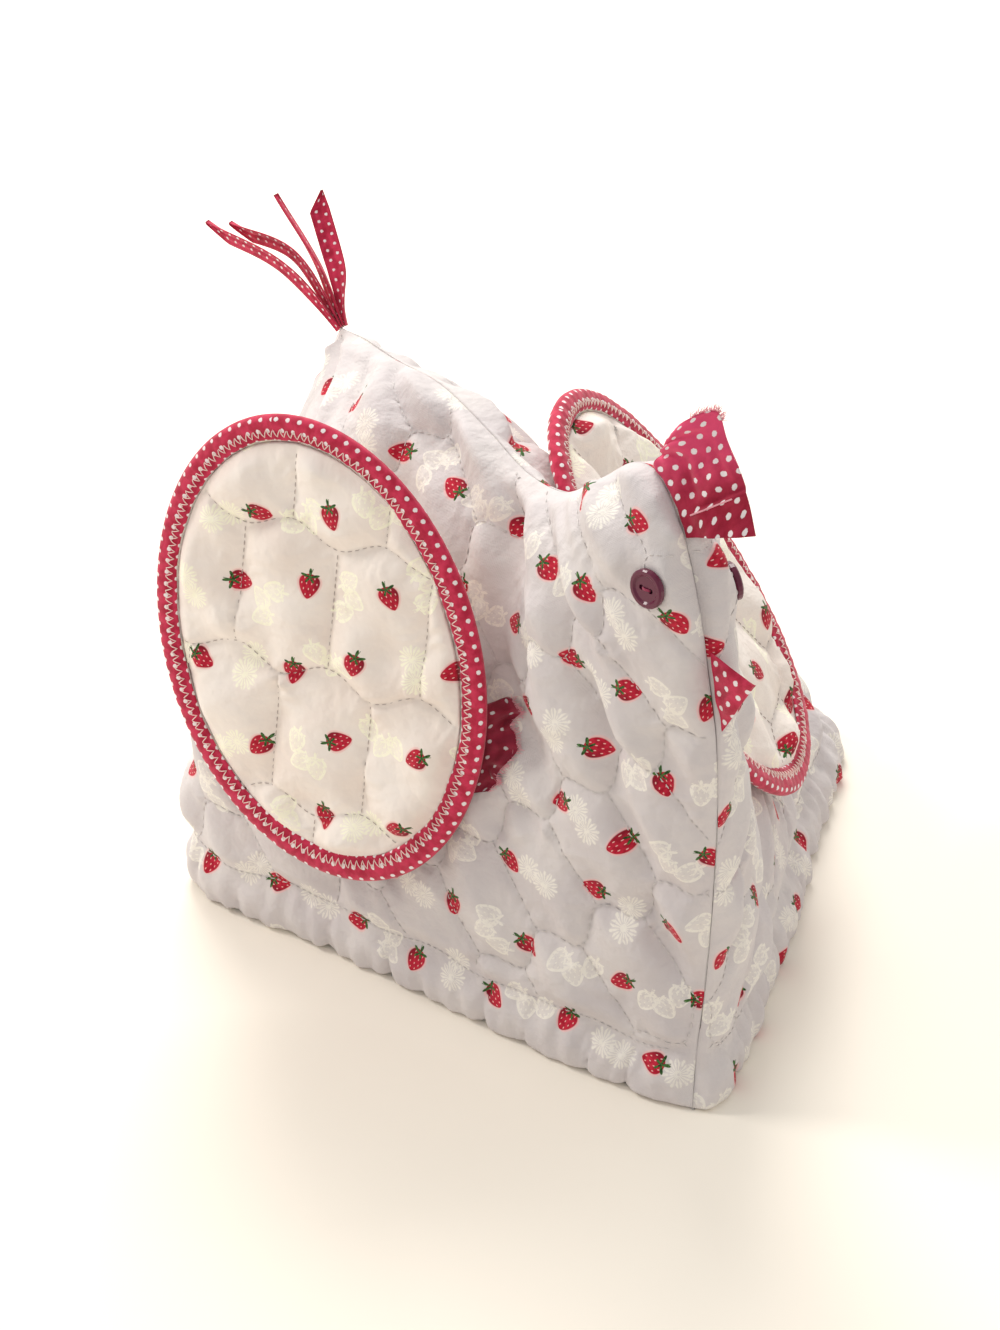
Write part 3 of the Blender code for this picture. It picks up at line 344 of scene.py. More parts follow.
def panel_layers(side, columns, rows):
    """Outer and inner layer of a panel, its lengths a from the breast seam and b from the hem, and
    its places on the printed cloth.
    The outer layer is the smooth form plus folds, cells 1 - e^-(d / 8.5 mm)^1.2 high between the
    quilting lines, pinches beside them, long creases, a rolled hem in pleats 25 mm apart, gathers
    along the seams and edges that turn in."""
    v = np.linspace(0.0, 1.0, rows)
    grid = panel_form(side, np.linspace(0.0, 1.0, columns), v)
    n = normals(grid) * side
    a, b = run_lengths(grid, 0), run_lengths(grid, 1)
    x, z = grid[:, :, 0], grid[:, :, 2]
    lift = np.zeros(a.shape)
    for (depth, width), *points in FOLDS[side]:
        d, share = path_distance(x, z, points)
        lift += depth * bell(d, width) * ease(share, -0.02, 0.15) * (1 - ease(share, 0.80, 1.02))
    seam = np.minimum(np.minimum(a, a[-1:] - a), b[:, -1:] - b)
    calm = ease(seam, 0.0, 0.012)
    d = np.minimum(*quilt_lines(a, b, QUILT_PANEL))
    below = hem_row(a) - b
    up = ease(-below, 0.0, 0.009)
    flat = np.zeros(a.shape)
    for place_x, place_z, reach in SEWN_ON[side]:
        flat = np.maximum(flat, bell(np.hypot(x - place_x, z - place_z), reach, 4))
    raised = CELL_HIGH * (1.0 - bell(d, CELL_REACH, 1.2)) * up * (1.0 - flat)
    raised += SEWN_HIGH * (1.0 - bell(d, SEWN_REACH, 1.6)) * flat
    raised += ROLL_HIGH * bell(b - ROLL_AT, ROLL_AT) * ease(below, -0.001, 0.009)
    spread = a + 0.0034 * ripple(a, b * 0, 13, 0.055, 5) + b * 0.25
    pleat = np.abs(np.sin(math.pi * spread / PLEAT_LONG)) ** 0.34
    deep = PLEAT_DEEP * (0.75 + 0.35 * ripple(a, b * 0, 14, 0.045, 5))
    raised += (pleat - 1.0) * deep * ease(below, -0.001, 0.006)
    tight = np.abs(np.sin(math.pi * (spread + b * 0.2) / GATHER_LONG)) ** 0.8
    raised += (tight - 1.0) * HEM_GATHER[side] * ease(below, -0.005, 0.004)
    raised -= 0.0007 * bell(below, 0.0018)
    raised *= calm
    raised += 0.0013 * bell(seam - 0.0085, 0.0050) * up * (1.0 - flat)
    thick = WADDING * (0.70 + 0.30 * calm) + np.maximum(raised, 0.0) * 0.9
    thick += (1.0 - ease(b, 0.010, 0.020)) * 0.0014
    p, q = quilt_frame(a, b, QUILT_PANEL)
    fine = 0.00110 * pinches(a, b, QUILT_PANEL, 5, 0.0105, 0.0085)
    fine += 0.00070 * ripple(p, q * 0.22, 8, 0.0165, 7) + 0.00080 * ripple(a, b, 9, 0.036, 8)
    fine = (fine - 0.0007 * bell(d, 0.0013)) * up * calm
    fine += 0.00055 * ripple(a, b * 0.3, 11, 0.0090, 6) * ease(below, 0.0, 0.006) * calm
    gather = 1.0 - np.abs(np.sin(math.pi * b / 0.0120 + 1.2 * ripple(b, a * 0, 15, 0.05, 4)))
    fine += 0.00050 * gather * bell(seam, 0.010) * ease(seam, 0.0, 0.003)
    fine *= 1.0 - flat
    outer = grid + n * (lift * calm + raised + fine)[:, :, None]
    outer = outer - pressed(outer, side)
    outer = outer + drawn_to_button(outer, side) * ease(seam, 0.001, 0.010)[:, :, None]
    inner = outer - n * (thick + fine)[:, :, None]
    for edge, most in ((b, 0.0024), (seam, 0.0010)):
        half = np.minimum(thick / 2, most)
        turn = half * (1.0 - np.sqrt(1.0 - np.clip(1.0 - edge / half, 0.0, 1.0) ** 2))
        outer = outer - n * turn[:, :, None]
        inner = inner + n * turn[:, :, None]
    outer[0, :, 1] = spline(FRONT, v)[:, 1] + side * SEAM_GAP / 2
    outer[-1, :, 1] = spline(BACK, v)[:, 1] + side * SEAM_GAP / 2
    outer[:, -1, 1] = side * SEAM_GAP / 2
    rise = 0.0022 * (1.0 - pleat) * np.exp(-b / 0.010) * calm
    for layer in (outer, inner):
        line = seam_line(layer[:, :, 0], layer[:, :, 2])
        layer[:, :, 1] = side * np.maximum(side * (layer[:, :, 1] - line), SEAM_GAP / 2) + line
        layer[:, 0, 2] = 0.0
        layer[:, :, 2] = np.maximum(layer[:, :, 2], 0.0) + 0.0002 + rise
    return outer + MIDDLE, inner + MIDDLE, a, b, laid_flat(grid, a, b)


def grid_faces(rows, columns, wrap_rows=False, wrap_columns=False):
    """Index array of the quads of a grid of points, joined round where a wrap is true."""
    i, j = np.meshgrid(np.arange(rows - (not wrap_rows)), np.arange(columns - (not wrap_columns)),
                       indexing="ij")
    k, m = (i + 1) % rows, (j + 1) % columns
    return np.stack([i * columns + j, k * columns + j, k * columns + m, i * columns + m],
                    axis=-1).reshape(-1, 4)


def piece(name, points, faces, materials, uv=None, shade=None):
    """Mesh object on the body.  Faces are turned so that the volume they enclose is positive;
    uv holds a place per point and shade a material number per face."""
    points = np.asarray(points, float).reshape(-1, 3)
    faces = [np.asarray(block, int) for block in faces]
    volume = 0.0
    for block in faces:
        for k in range(1, block.shape[1] - 1):
            corner = [points[block[:, c]] for c in (0, k, k + 1)]
            volume += (corner[0] * np.cross(corner[1], corner[2])).sum()
    if volume < 0:
        faces = [block[:, ::-1] for block in faces]
    mesh = bpy.data.meshes.new(name)
    mesh.from_pydata(points.tolist(), [], [row for block in faces for row in block.tolist()])
    for material in materials:
        mesh.materials.append(material)
    if uv is not None:
        corners = np.concatenate([block.reshape(-1) for block in faces])
        layer = mesh.uv_layers.new(name="cloth")
        layer.data.foreach_set("uv", np.asarray(uv, float).reshape(-1, 2)[corners].ravel())
    if shade is not None:
        mesh.polygons.foreach_set("material_index", np.asarray(shade, int))
    mesh.polygons.foreach_set("use_smooth", np.ones(len(mesh.polygons), bool))
    mesh.update()
    obj = bpy.data.objects.new(name, mesh)
    bpy.context.scene.collection.objects.link(obj)
    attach(obj, "root")
    return obj


class Field:
    """A value over a cloth, given by a node's output; arithmetic on it adds Math nodes."""

    def __init__(self, cloth, socket):
        self.cloth, self.socket = cloth, socket

    def apply(self, operation, *others):
        """The operation's Math node on this value and the others."""
        return self.cloth.node("ShaderNodeMath", enumerate((self, *others)), operation=operation)[0]

    def __rsub__(self, other):
        """A number less this value."""
        return self * -1.0 + other

    def step(self, low, high):
        """Smooth step from 0 where the value is low to 1 where it is high."""
        return self.cloth.node("ShaderNodeMapRange", enumerate((self, low, high)),
                               interpolation_type="SMOOTHSTEP")[0]


for name, operation in (("__add__", "ADD"), ("__sub__", "SUBTRACT"), ("__mul__", "MULTIPLY"),
                        ("__truediv__", "DIVIDE"), ("__abs__", "ABSOLUTE"), ("most", "MAXIMUM"),
                        ("angle", "ARCTAN2"), ("root", "SQRT"), ("floor", "FLOOR"),
                        ("fract", "FRACT"), ("sine", "SINE"), ("cosine", "COSINE")):
    setattr(Field, name, partialmethod(Field.apply, operation))


def paint(name, **values):
    """New material, with values set on its Principled shader: Base_Color for Base Color."""
    material = bpy.data.materials.new(name)
    material.use_nodes = True
    for place, value in values.items():
        socket = material.node_tree.nodes["Principled BSDF"].inputs[place.replace("_", " ")]
        socket.default_value = value
    return material


class Cloth:
    """A cotton under construction: its material, node tree and cloth coordinates."""

    def __init__(self, name, rough, sheen, **values):
        self.material = paint(name, Roughness=rough, Sheen_Weight=sheen, Sheen_Roughness=0.5,
                              Specular_IOR_Level=0.25, **values)
        self.tree = self.material.node_tree
        self.shader = self.tree.nodes["Principled BSDF"]

    def node(self, kind, inputs, **settings):
        """Add a node, link fields and set numbers and colours at the places of `inputs`, which are
        pairs of a number or name and a value, and give its outputs as fields."""
        node = self.tree.nodes.new(kind)
        for name, value in settings.items():
            setattr(node, name, value)
        for place, value in inputs:
            if isinstance(value, Field):
                self.tree.links.new(value.socket, node.inputs[place])
            else:
                value = (*value, 1.0) if isinstance(value, tuple) else value
                node.inputs[place].default_value = value
        return [Field(self, output) for output in node.outputs]

    def place(self, scale):
        """Cloth coordinates in metres from the UV map, which holds them divided by scale."""
        at = self.node("ShaderNodeUVMap", (), uv_map="cloth")[0]
        x, y, _ = self.node("ShaderNodeSeparateXYZ", [(0, at)])
        return x * scale, y * scale

    def vector(self, *parts):
        """Vector of up to three values."""
        return self.node("ShaderNodeCombineXYZ", enumerate(parts))[0]

    def random(self, x, y, seed):
        """Three random fields, 0 to 1, that stay the same over each whole x, y."""
        colour = self.node("ShaderNodeTexWhiteNoise", [("Vector", self.vector(x, y, seed))],
                           noise_dimensions="3D")[1]
        return self.node("ShaderNodeSeparateColor", [(0, colour)])

    def noise(self, x, y, size, detail=2.0):
        """Smooth noise over the cloth in patches about `size` across."""
        return self.node("ShaderNodeTexNoise", (("Scale", 1.0 / size), ("Detail", detail),
                                                ("Vector", self.vector(x, y))),
                         noise_dimensions="2D")[0]

    def mix(self, share, under, over):
        """Colour that goes from under to over with the share."""
        return self.node("ShaderNodeMix", ((0, share), (6, under), (7, over)), data_type="RGBA")[2]

    def clouds(self, x, y, size, edge, under, over, detail=2.0):
        """Two colours in soft patches: noise, stepped from `edge` to 1 - `edge`."""
        return self.mix(self.noise(x, y, size, detail).step(edge, 1.0 - edge), under, over)

    def bump(self, height, distance, strength):
        """Relief on the shader: a height of 1 stands `distance` proud, to its strength."""
        bumped = self.node("ShaderNodeBump", (("Strength", strength), ("Distance", distance),
                                              ("Height", height)))[0]
        self.tree.links.new(bumped.socket, self.shader.inputs["Normal"])

    def weave(self, x, y, thread):
        """Plain weave: sin(pi x / t) sin(pi y / t), broken up by threads of unlike thickness."""
        turn = math.pi / thread
        return (x * turn).sine() * (y * turn).sine() * 0.5 + self.noise(x, y, thread * 3.0) * 0.8

    def finish(self, colour):
        """The finished material, with this base colour."""
        self.tree.links.new(colour.socket, self.shader.inputs["Base Color"])
        return self.material


# the print: width and height of a cell, half heights of a berry and of a cream cluster, and what
# lies in a cluster: x, y and tilt of its fruit, or x, y and petals of its blossoms
BERRY_CELL = (0.0355, 0.0355 * 0.92)
BERRY, CLUSTER = 0.0051, 0.0108
CLUSTER_FRUIT = ((-0.62, 0.10, 0.5), (0.05, -0.22, -0.3), (0.66, 0.16, 0.9))
CLUSTER_BLOOM = ((-0.34, 0.16, 7.0), (0.42, -0.20, 6.0))


def fruit(x, y):
    """A strawberry one unit in half height: its body |x| < sqrt(1 - y y) (0.80 + 0.30 y), seeds on
    a staggered lattice, and a calyx of five narrow lobes and a stem about its top."""
    width = (1.0 - y * y).most(0.0).root() * (y * 0.30 + 0.80)
    margin = width - abs(x) - (abs(y) - 1.0).most(0.0) * 3.0
    row = (y * 2.3).floor()
    sx = (x * 2.6 + row * 0.5).fract() - 0.5
    sy = (y * 2.3).fract() - 0.5
    seed = (sx * sx * 3.2 + sy * sy).root()
    up = y - 0.72
    reach = (x * x + up * up).root()
    lobes = abs((x.angle(up) * 2.5).cosine())
    leaf = (lobes * lobes * lobes * 0.62 + 0.16) - reach * (1.45 - up.step(-0.6, 0.1) * 0.45)
    stem = 0.055 - abs(x - up * 0.25)
    above = (abs(up - 0.45) - 0.25).most(0.0)
    return margin, seed, leaf.most(stem - above)


def tossed(x, y, shift, seed, radius, swing):
    """Place within the cell of a staggered lattice, in motif radii, after a random shift and turn
    of each cell, with the cell's first random number."""
    wide, tall = BERRY_CELL
    gx, gy = x / wide + shift, y / tall
    row = gy.floor()
    gx = gx + row * 0.5
    column = gx.floor()
    rand = x.cloth.random(column, row, seed)
    lx = (gx - column - 0.5 - (rand[0] - 0.5) * 0.22) * wide
    ly = (gy - row - 0.5 - (rand[1] - 0.5) * 0.22) * tall
    turn = (rand[2] - 0.5) * swing
    c, s = turn.cosine(), turn.sine()
    return (lx * c + ly * s) / radius, (ly * c - lx * s) / radius, rand[0]


def berry_print(cloth, x, y, ground, cream):
    """Red strawberries with a pink edge on a staggered lattice 36 mm apart; between them cream
    clusters of three outlined, dotted fruit, or blossoms of short strokes."""
    lx, ly, chance = tossed(x, y, 0.5, 3.0, CLUSTER, 5.0)
    inks, blooms = [], []
    for ox, oy, tilt in CLUSTER_FRUIT:
        c, s = math.cos(tilt), math.sin(tilt)
        margin, seed, leaf = fruit(((lx - ox) * c + (ly - oy) * s) * 2.15,
                                   ((ly - oy) * c - (lx - ox) * s) * 2.15)
        outline = (0.17 - abs(margin - 0.10)).step(0.0, 0.08)
        dots = (0.30 - seed).step(0.0, 0.10) * margin.step(0.0, 0.1)
        inks += [outline, dots, leaf.step(0.0, 0.08), margin.step(-0.02, 0.10) * 0.42]
    for ox, oy, petals in CLUSTER_BLOOM:
        ax, ay = lx - ox, ly - oy
        ring = (ax * ax + ay * ay).root()
        rays = abs((ax.angle(ay) * petals).cosine())
        stroke = (ax.angle(ay) * (petals * 3.0)).cosine().step(-0.7, 0.2)
        heart = (0.16 - ring).step(0.0, 0.05)
        edge = (rays * 0.14 + 0.46 - ring).step(0.0, 0.07)
        blooms.append(edge * (stroke * 0.72 + 0.28).most(heart))
    pick = (chance * 7.0).fract().step(0.52, 0.53)
    ink = reduce(Field.most, inks) * (1.0 - pick) + reduce(Field.most, blooms) * pick
    worn = cloth.noise(x, y, 0.0013).step(0.22, 0.48) * 0.75 + 0.25
    colour = cloth.mix(ink * worn * cream[1], ground, cream[0])
    lx, ly, chance = tossed(x, y, 0.0, 4.0, BERRY, 3.6)
    margin, seed, leaf = fruit(lx, ly)
    colour = cloth.mix(margin.step(-0.45, 0.05) * 0.12, colour, (0.85, 0.48, 0.48))
    colour = cloth.mix(margin.step(-0.14, -0.08) * 0.50, colour, (0.90, 0.48, 0.46))
    red = cloth.clouds(x, y, 0.0016, 0.3, (0.40, 0.008, 0.026), (0.56, 0.016, 0.045))
    red = cloth.mix((lx + ly * 0.4).step(0.05, 0.95) * 0.75, red, (0.17, 0.004, 0.016))
    colour = cloth.mix(margin.step(0.0, 0.10), colour, red)
    dots = (0.24 - seed).step(0.0, 0.10) * margin.step(0.06, 0.16)
    colour = cloth.mix(dots * 0.9, colour, (0.90, 0.55, 0.50))
    green = cloth.clouds(x, y, 0.0010, 0.35, (0.016, 0.055, 0.014), (0.070, 0.18, 0.045))
    return cloth.mix(leaf.step(0.0, 0.06), colour, green)


PRINT_MAP = 0.5     # metres of printed or plain cotton to one unit of the UV map


def printed(name, ground, cream):
    """Matt printed cotton with a fine weave and slight unevenness."""
    cloth = Cloth(name, 0.92, 0.12)
    x, y = cloth.place(PRINT_MAP)
    base = cloth.clouds(x, y, 0.030, 0.25, *ground, detail=3.0)
    colour = berry_print(cloth, x, y, base, cream)
    crumple = cloth.noise(x, y, 0.0060, 3.0) * 4.0
    cloth.bump(cloth.weave(x, y, 0.00042) * 0.30 + crumple, 0.00026, 0.9)
    return cloth.finish(colour)


def plain(name, colour):
    """Plain cotton of one colour, with a fine weave and a little unevenness."""
    cloth = Cloth(name, 0.92, 0.15)
    x, y = cloth.place(PRINT_MAP)
    cloth.bump(cloth.weave(x, y, 0.0004), 0.0001, 0.5)
    light = tuple(c * 1.12 for c in colour)
    return cloth.finish(cloth.mix(cloth.noise(x, y, 0.006, 3.0), colour, light))


PANEL_GRID = columns, rows = 269, 179
CUT_AT = {-1: (0.0, 0.0), 1: (0.311, 0.173)}   # where each panel is cut from the printed cloth
body_cotton = printed("body_cotton", ((0.615, 0.565, 0.565), (0.680, 0.632, 0.618)),
                      ((0.93, 0.89, 0.79), 0.66))
lining_cotton = plain("lining_cotton", (0.74, 0.72, 0.69))
layers, panels = {}, {}
for side, word in SIDES:
    outer, inner, a, b, printed_at = panel_layers(side, *PANEL_GRID)
    layers[side] = (outer, a, b)
    ring = np.concatenate([outer[:, ::-1], inner], axis=1)
    number = np.arange(ring.shape[0] * ring.shape[1]).reshape(ring.shape[:2])
    wall = grid_faces(columns, 2 * rows, wrap_columns=True)
    out_i, in_i = number[:, :rows][:, ::-1], number[:, rows:]
    ends = [np.stack([out_i[k, :-1], out_i[k, 1:], in_i[k, 1:], in_i[k, :-1]], axis=1)[:, ::way]
            for k, way in ((0, 1), (-1, -1))]
    cut = printed_at + CUT_AT[side]
    lining = (wall.min(axis=1) % (2 * rows) >= rows - 1).astype(int)
    panels[side] = piece("panel_%s_cloth" % word, ring, [wall, np.concatenate(ends)],
                         [body_cotton, lining_cotton],
                         np.concatenate([cut[:, ::-1], cut], axis=1) / PRINT_MAP,
                         np.concatenate([lining, np.ones(2 * (rows - 1), int)]))
    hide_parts("panel_" + word)

# ================================================================ quilting stitches
# The three layers of each panel are held together by running stitches of pale thread in wavy rows
# joined crest to trough.  Each stitch is a short round thread that dives into the cloth at its
# ends.
STITCH, STITCH_STEP = 0.0020, 0.0031
THREAD, THREAD_ARCH = 0.00024, 0.00030
STITCH_MISS = 0.0006    # a stitch whose place is further off than this lies outside the panel
PANEL_FLAT = {-1: ((0.410, 0.278), 0.092), 1: ((0.467, 0.298), 0.096)}


def on_grid(values, i, j):
    """Bilinear value of a grid at fractional places i, j."""
    i0 = np.clip(np.floor(i).astype(int), 0, values.shape[0] - 2)
    j0 = np.clip(np.floor(j).astype(int), 0, values.shape[1] - 2)
    s, t = i - i0, j - j0
    if values.ndim == 3:
        s, t = s[:, None], t[:, None]
    return ((values[i0, j0] * (1 - s) + values[i0 + 1, j0] * s) * (1 - t)
            + (values[i0, j0 + 1] * (1 - s) + values[i0 + 1, j0 + 1] * s) * t)


def find_place(a, b, want_a, want_b):
    """Fractional grid places where the cloth lengths are the wanted ones, and by how much they
    miss: nearest point on every fifth line, then Newton steps on the bilinear grid."""
    coarse = 5
    pick_a, pick_b = a[::coarse, ::coarse], b[::coarse, ::coarse]
    far = (want_a[:, None] - pick_a.ravel()) ** 2 + (want_b[:, None] - pick_b.ravel()) ** 2
    i, j = [float(coarse) * k for k in np.unravel_index(np.argmin(far, axis=1), pick_a.shape)]
    slopes = [np.gradient(values, axis=k) for values in (a, b) for k in (0, 1)]
    for _ in range(6):
        ra, rb = want_a - on_grid(a, i, j), want_b - on_grid(b, i, j)
        m = [on_grid(slope, i, j) for slope in slopes]
        det = m[0] * m[3] - m[1] * m[2]
        i = np.clip(i + (ra * m[3] - rb * m[1]) / det, 0, a.shape[0] - 1.001)
        j = np.clip(j + (rb * m[0] - ra * m[2]) / det, 0, a.shape[1] - 1.001)
    return i, j, np.hypot(want_a - on_grid(a, i, j), want_b - on_grid(b, i, j))


def quilt_stitches(quilt, low, high):
    """Both ends of every stitch, as lengths a, b on the cloth, between the corners low and high
    of the turned frame: along each wavy row and up each straight join."""
    width, height, wave, turn, crest = quilt
    starts, ends = [], []
    for k in range(math.floor(low[1] / height), math.ceil(high[1] / height) + 1):
        p = np.arange(low[0], high[0], STITCH_STEP)
        for store, q in ((starts, p), (ends, p + STITCH)):
            phase = 2 * math.pi * (q / width - k / 2)
            store.append(np.stack([q, k * height + wave * np.cos(phase)], 1))
        for m in range(math.floor(low[0] / width - k / 2), math.ceil(high[0] / width - k / 2) + 1):
            q = np.arange(k * height + wave + 0.001, (k + 1) * height - wave - STITCH, STITCH_STEP)
            p = np.full(len(q), width * (m + k / 2))
            starts.append(np.stack([p, q], 1))
            ends.append(np.stack([p, q + STITCH], 1))
    c, s = math.cos(turn), math.sin(turn)
    return [(pq[:, 0] * c + pq[:, 1] * s, pq[:, 1] * c - pq[:, 0] * s)
            for pq in (np.concatenate(starts) + crest, np.concatenate(ends) + crest)]


def threads(name, start, end, up, radius, arch, material, slot):
    """One round thread per pair of points: five rings of six points on the chord, raised by
    arch (1 - (2 s - 1)^2) along `up` and drawn to a point at both ends."""
    s = np.array([0.0, 0.18, 0.5, 0.82, 1.0])
    size = radius * np.array([0.35, 0.9, 1.0, 0.9, 0.35])
    chord = end - start
    way = unit(chord)
    across = unit(np.cross(way, up))
    rise = np.cross(across, way)
    line = (start[:, None] + chord[:, None] * s[None, :, None]
            + up[:, None] * (arch * (1 - (2 * s - 1) ** 2))[None, :, None])
    turn = (np.arange(6) * math.pi / 3)[None, None, :, None]
    ring = across[:, None, None] * np.cos(turn) + rise[:, None, None] * np.sin(turn)
    points = line[:, :, None] + ring * size[None, :, None, None]
    shift = (np.arange(len(start)) * 30)[:, None, None]
    caps = np.array([[0, 1, 2, 3, 4, 5], [29, 28, 27, 26, 25, 24]])
    faces = [(one + shift).reshape(-1, one.shape[1])
             for one in (grid_faces(5, 6, wrap_columns=True), caps)]
    return piece(name, points, faces, [material])


def thread_cotton(name, colour):
    """Twisted thread: slightly glossy, of one colour."""
    return Cloth(name, 0.6, 0.2, Base_Color=(*colour, 1.0)).material


pale_thread = thread_cotton("pale_thread", (0.66, 0.62, 0.60))
for side, word in SIDES:
    outer, a, b = layers[side]
    hem_a = np.arange(0.012, 0.460, STITCH_STEP)
    ends = [(np.append(want[0], along), np.append(want[1], hem_row(along)))
            for want, along in zip(quilt_stitches(QUILT_PANEL, (-0.16, -0.14), (0.44, 0.44)),
                                   (hem_a, hem_a + STITCH))]
    found = [find_place(a, b, *want) for want in ends]
    i, j, _ = found[0]
    clear = 0.0015 * (np.arange(len(i)) < len(i) - len(hem_a))
    good = (np.minimum(i, a.shape[0] - 1 - i) > 2) & (j < a.shape[1] - 4)
    for (along, high), (_, _, miss) in zip(ends, found):
        good &= (miss < STITCH_MISS) & (high >= hem_row(along) + clear)
    lift = on_grid(normals(outer) * side, i[good], j[good])
    start, end = [on_grid(outer, f[0][good], f[1][good]) + lift * 0.00005 for f in found]
    stitches = threads("quilting_" + word, start, end, lift, THREAD, THREAD_ARCH, pale_thread,
                       "quilted_cotton")
    flat, area = PANEL_FLAT[side]

# ================================================================ wings
# Each wing is an oval of the same quilted cotton, cut with its quilting a little turned, its raw
# edge covered by the binding.  It is joined to the body only behind its front, so it stands clear.
QUILT_WING = (0.0410, 0.0590, 0.0038, 0.2840, (0.0048, -0.0089))
BINDING = 0.0095
PAD_EDGE, PAD_PUFF = 0.0022, 0.0052     # thickness at the edge, and rise of the cells
PAD_BEHIND = 0.35                       # share of that rise on the side towards the body
EDGE_GAP = 0.0003
WING_THREAD, WING_THREAD_ARCH = 0.00019, 0.00026


def wing_polar(p, q, inset=0.0):
    """Share of the way from the wing's middle to its outline, and the angle from its top."""
    return (np.hypot(p / (WING_SHORT - inset), q / (WING_LONG - inset)),
            np.arctan2(p / WING_SHORT, q / WING_LONG))


def wing_place(side, p, q, h):
    """Points of a wing: p across, q along, h outwards, with its lifted front edge and a soft wave
    of its free edge that only leans away from the body."""
    centre, across, along, normal = wing_frame(side)
    reach, turn = wing_polar(p, q)
    wave = 0.0006 * (1.0 + np.cos(3 * turn + 1.0)) * reach ** 3
    lift = WING[side][3] * np.maximum(p / WING_SHORT, 0.0) ** 2 + wave
    return (MIDDLE + centre + np.multiply.outer(p, across) + np.multiply.outer(q, along)
            + np.multiply.outer(h + lift, normal))


def pad_rise(side, p, q):
    """Height of the quilted cells of a wing over its flat layer, with puckers beside the lines."""
    d = np.minimum(*quilt_lines(side * p, q, QUILT_WING))
    reach, turn = wing_polar(p, q, BINDING)
    edge = (1.0 - reach) * WING_SHORT
    rise = PAD_PUFF * (1.0 - bell(d, 0.0080, 1.15)) + 0.0004
    rise += 0.00135 * pinches(side * p, q, QUILT_WING, 21, 0.0110, 0.0095) * ease(d, 0.0, 0.0012)
    rise += 0.00085 * ripple(p, q, 22, 0.032, 8) - 0.0006 * bell(d, 0.0012)
    rise += 0.00090 * ripple(p * 0.9 + q * 0.4, q * 0.3 - p * 0.13, 24, 0.014, 6)
    gather = 1.0 - np.abs(np.cos(turn * 21.0 + 2.0 * np.sin(turn * 5.0)))
    rise += 0.0007 * gather * bell(edge, 0.009)
    return np.maximum(rise * ease(edge, -0.001, 0.0075), 0.0)


def wing_pad(side, word, material):
    """Square grid s, t drawn onto a disc, x = s sqrt(1 - t t / 2), y = t sqrt(1 - s s / 2), in
    front and behind, joined by a flat lip that lies inside the binding."""
    across, along = 96, 128
    s, t = np.meshgrid(np.linspace(-1, 1, across + 1), np.linspace(-1, 1, along + 1), indexing="ij")
    x, y = s * np.sqrt(1 - t * t / 2), t * np.sqrt(1 - s * s / 2)
    lip = BINDING + 0.0008
    p, q = (WING_SHORT - lip) * x, (WING_LONG - lip) * y
    number = np.arange(p.size).reshape(p.shape)
    rim = np.concatenate([number[:-1, 0], number[-1, :-1], number[:0:-1, -1], number[0, :0:-1]])
    rise = pad_rise(side, p, q)
    rows, flat = [], []
    for layer, share in ((1, 1.0), (-1, PAD_BEHIND)):
        high = layer * (PAD_EDGE / 2 + share * rise)
        rows.append(wing_place(side, p, q, high).reshape(-1, 3))
        flat.append(np.stack([p.ravel(), q.ravel()], axis=1))
        for inset in (0.0058, 0.0019):
            rp, rq = (WING_SHORT - inset) * x.flat[rim], (WING_LONG - inset) * y.flat[rim]
            rows.append(wing_place(side, rp, rq, layer * PAD_EDGE / 2))
            flat.append(np.stack([rp, rq], axis=1))
    block = p.size + 2 * len(rim)
    quads = grid_faces(across + 1, along + 1)
    rings = [rim, p.size + np.arange(len(rim)), p.size + len(rim) + np.arange(len(rim))]
    rings = rings + [block + r for r in rings[::-1]]
    joins = [np.stack([one, np.roll(one, -1), np.roll(two, -1), two], axis=1)
             for one, two in zip(rings[:-1], rings[1:])]
    faces = np.concatenate([quads, (quads + block)[:, ::-1]] + joins)
    return piece("wing_%s_cloth" % word, np.concatenate(rows), [faces], [material],
                 (np.concatenate(flat) * [side, 1] + CUT_AT[side] + 0.12) / PRINT_MAP)


# painted light: the body's cotton with a lighter, warmer ground and a stronger cream print, for the
# light on the wings
wing_cotton = printed("wing_cotton", ((0.840, 0.740, 0.670), (0.900, 0.825, 0.765)),
                      ((0.98, 0.95, 0.76), 0.90))
grey_thread = thread_cotton("grey_thread", (0.47, 0.40, 0.37))
pads, pad_stitches = {}, {}
for side, word in SIDES:
    pads[side] = wing_pad(side, word, wing_cotton)
    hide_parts("wing_" + word)
    flat = [(side * want[0], want[1])
            for want in quilt_stitches(QUILT_WING, (-0.12, -0.12), (0.12, 0.12))]
    good = np.all([wing_polar(p, q, BINDING)[0] < 0.97 for p, q in flat], axis=0)
    start, end = [wing_place(side, p[good], q[good],
                             PAD_EDGE / 2 + pad_rise(side, p[good], q[good]) + 0.00004)
                  for p, q in flat]
    up = np.repeat(wing_frame(side)[3][None], len(start), axis=0)
    pad_stitches[side] = threads("wing_quilting_" + word, start, end, up, WING_THREAD,
                                 WING_THREAD_ARCH, grey_thread, "wing_cotton")

# ================================================================ wing bindings
# A bias strip of red cotton with white pin dots is folded over each wing's raw edge and held by
# one row of pale zigzag stitches on its inner part, front and back.
BINDING_STEPS = 360
BINDING_MAP = 0.6
BINDING_THICK = 0.0011
ZIGZAG_POINTS, ZIGZAG_OUT, ZIGZAG_IN, ZIGZAG_OVER = 312, 0.0050, 0.0083, 0.0016
ZIGZAG_THREAD, ZIGZAG_ARCH = 0.00021, 0.00070


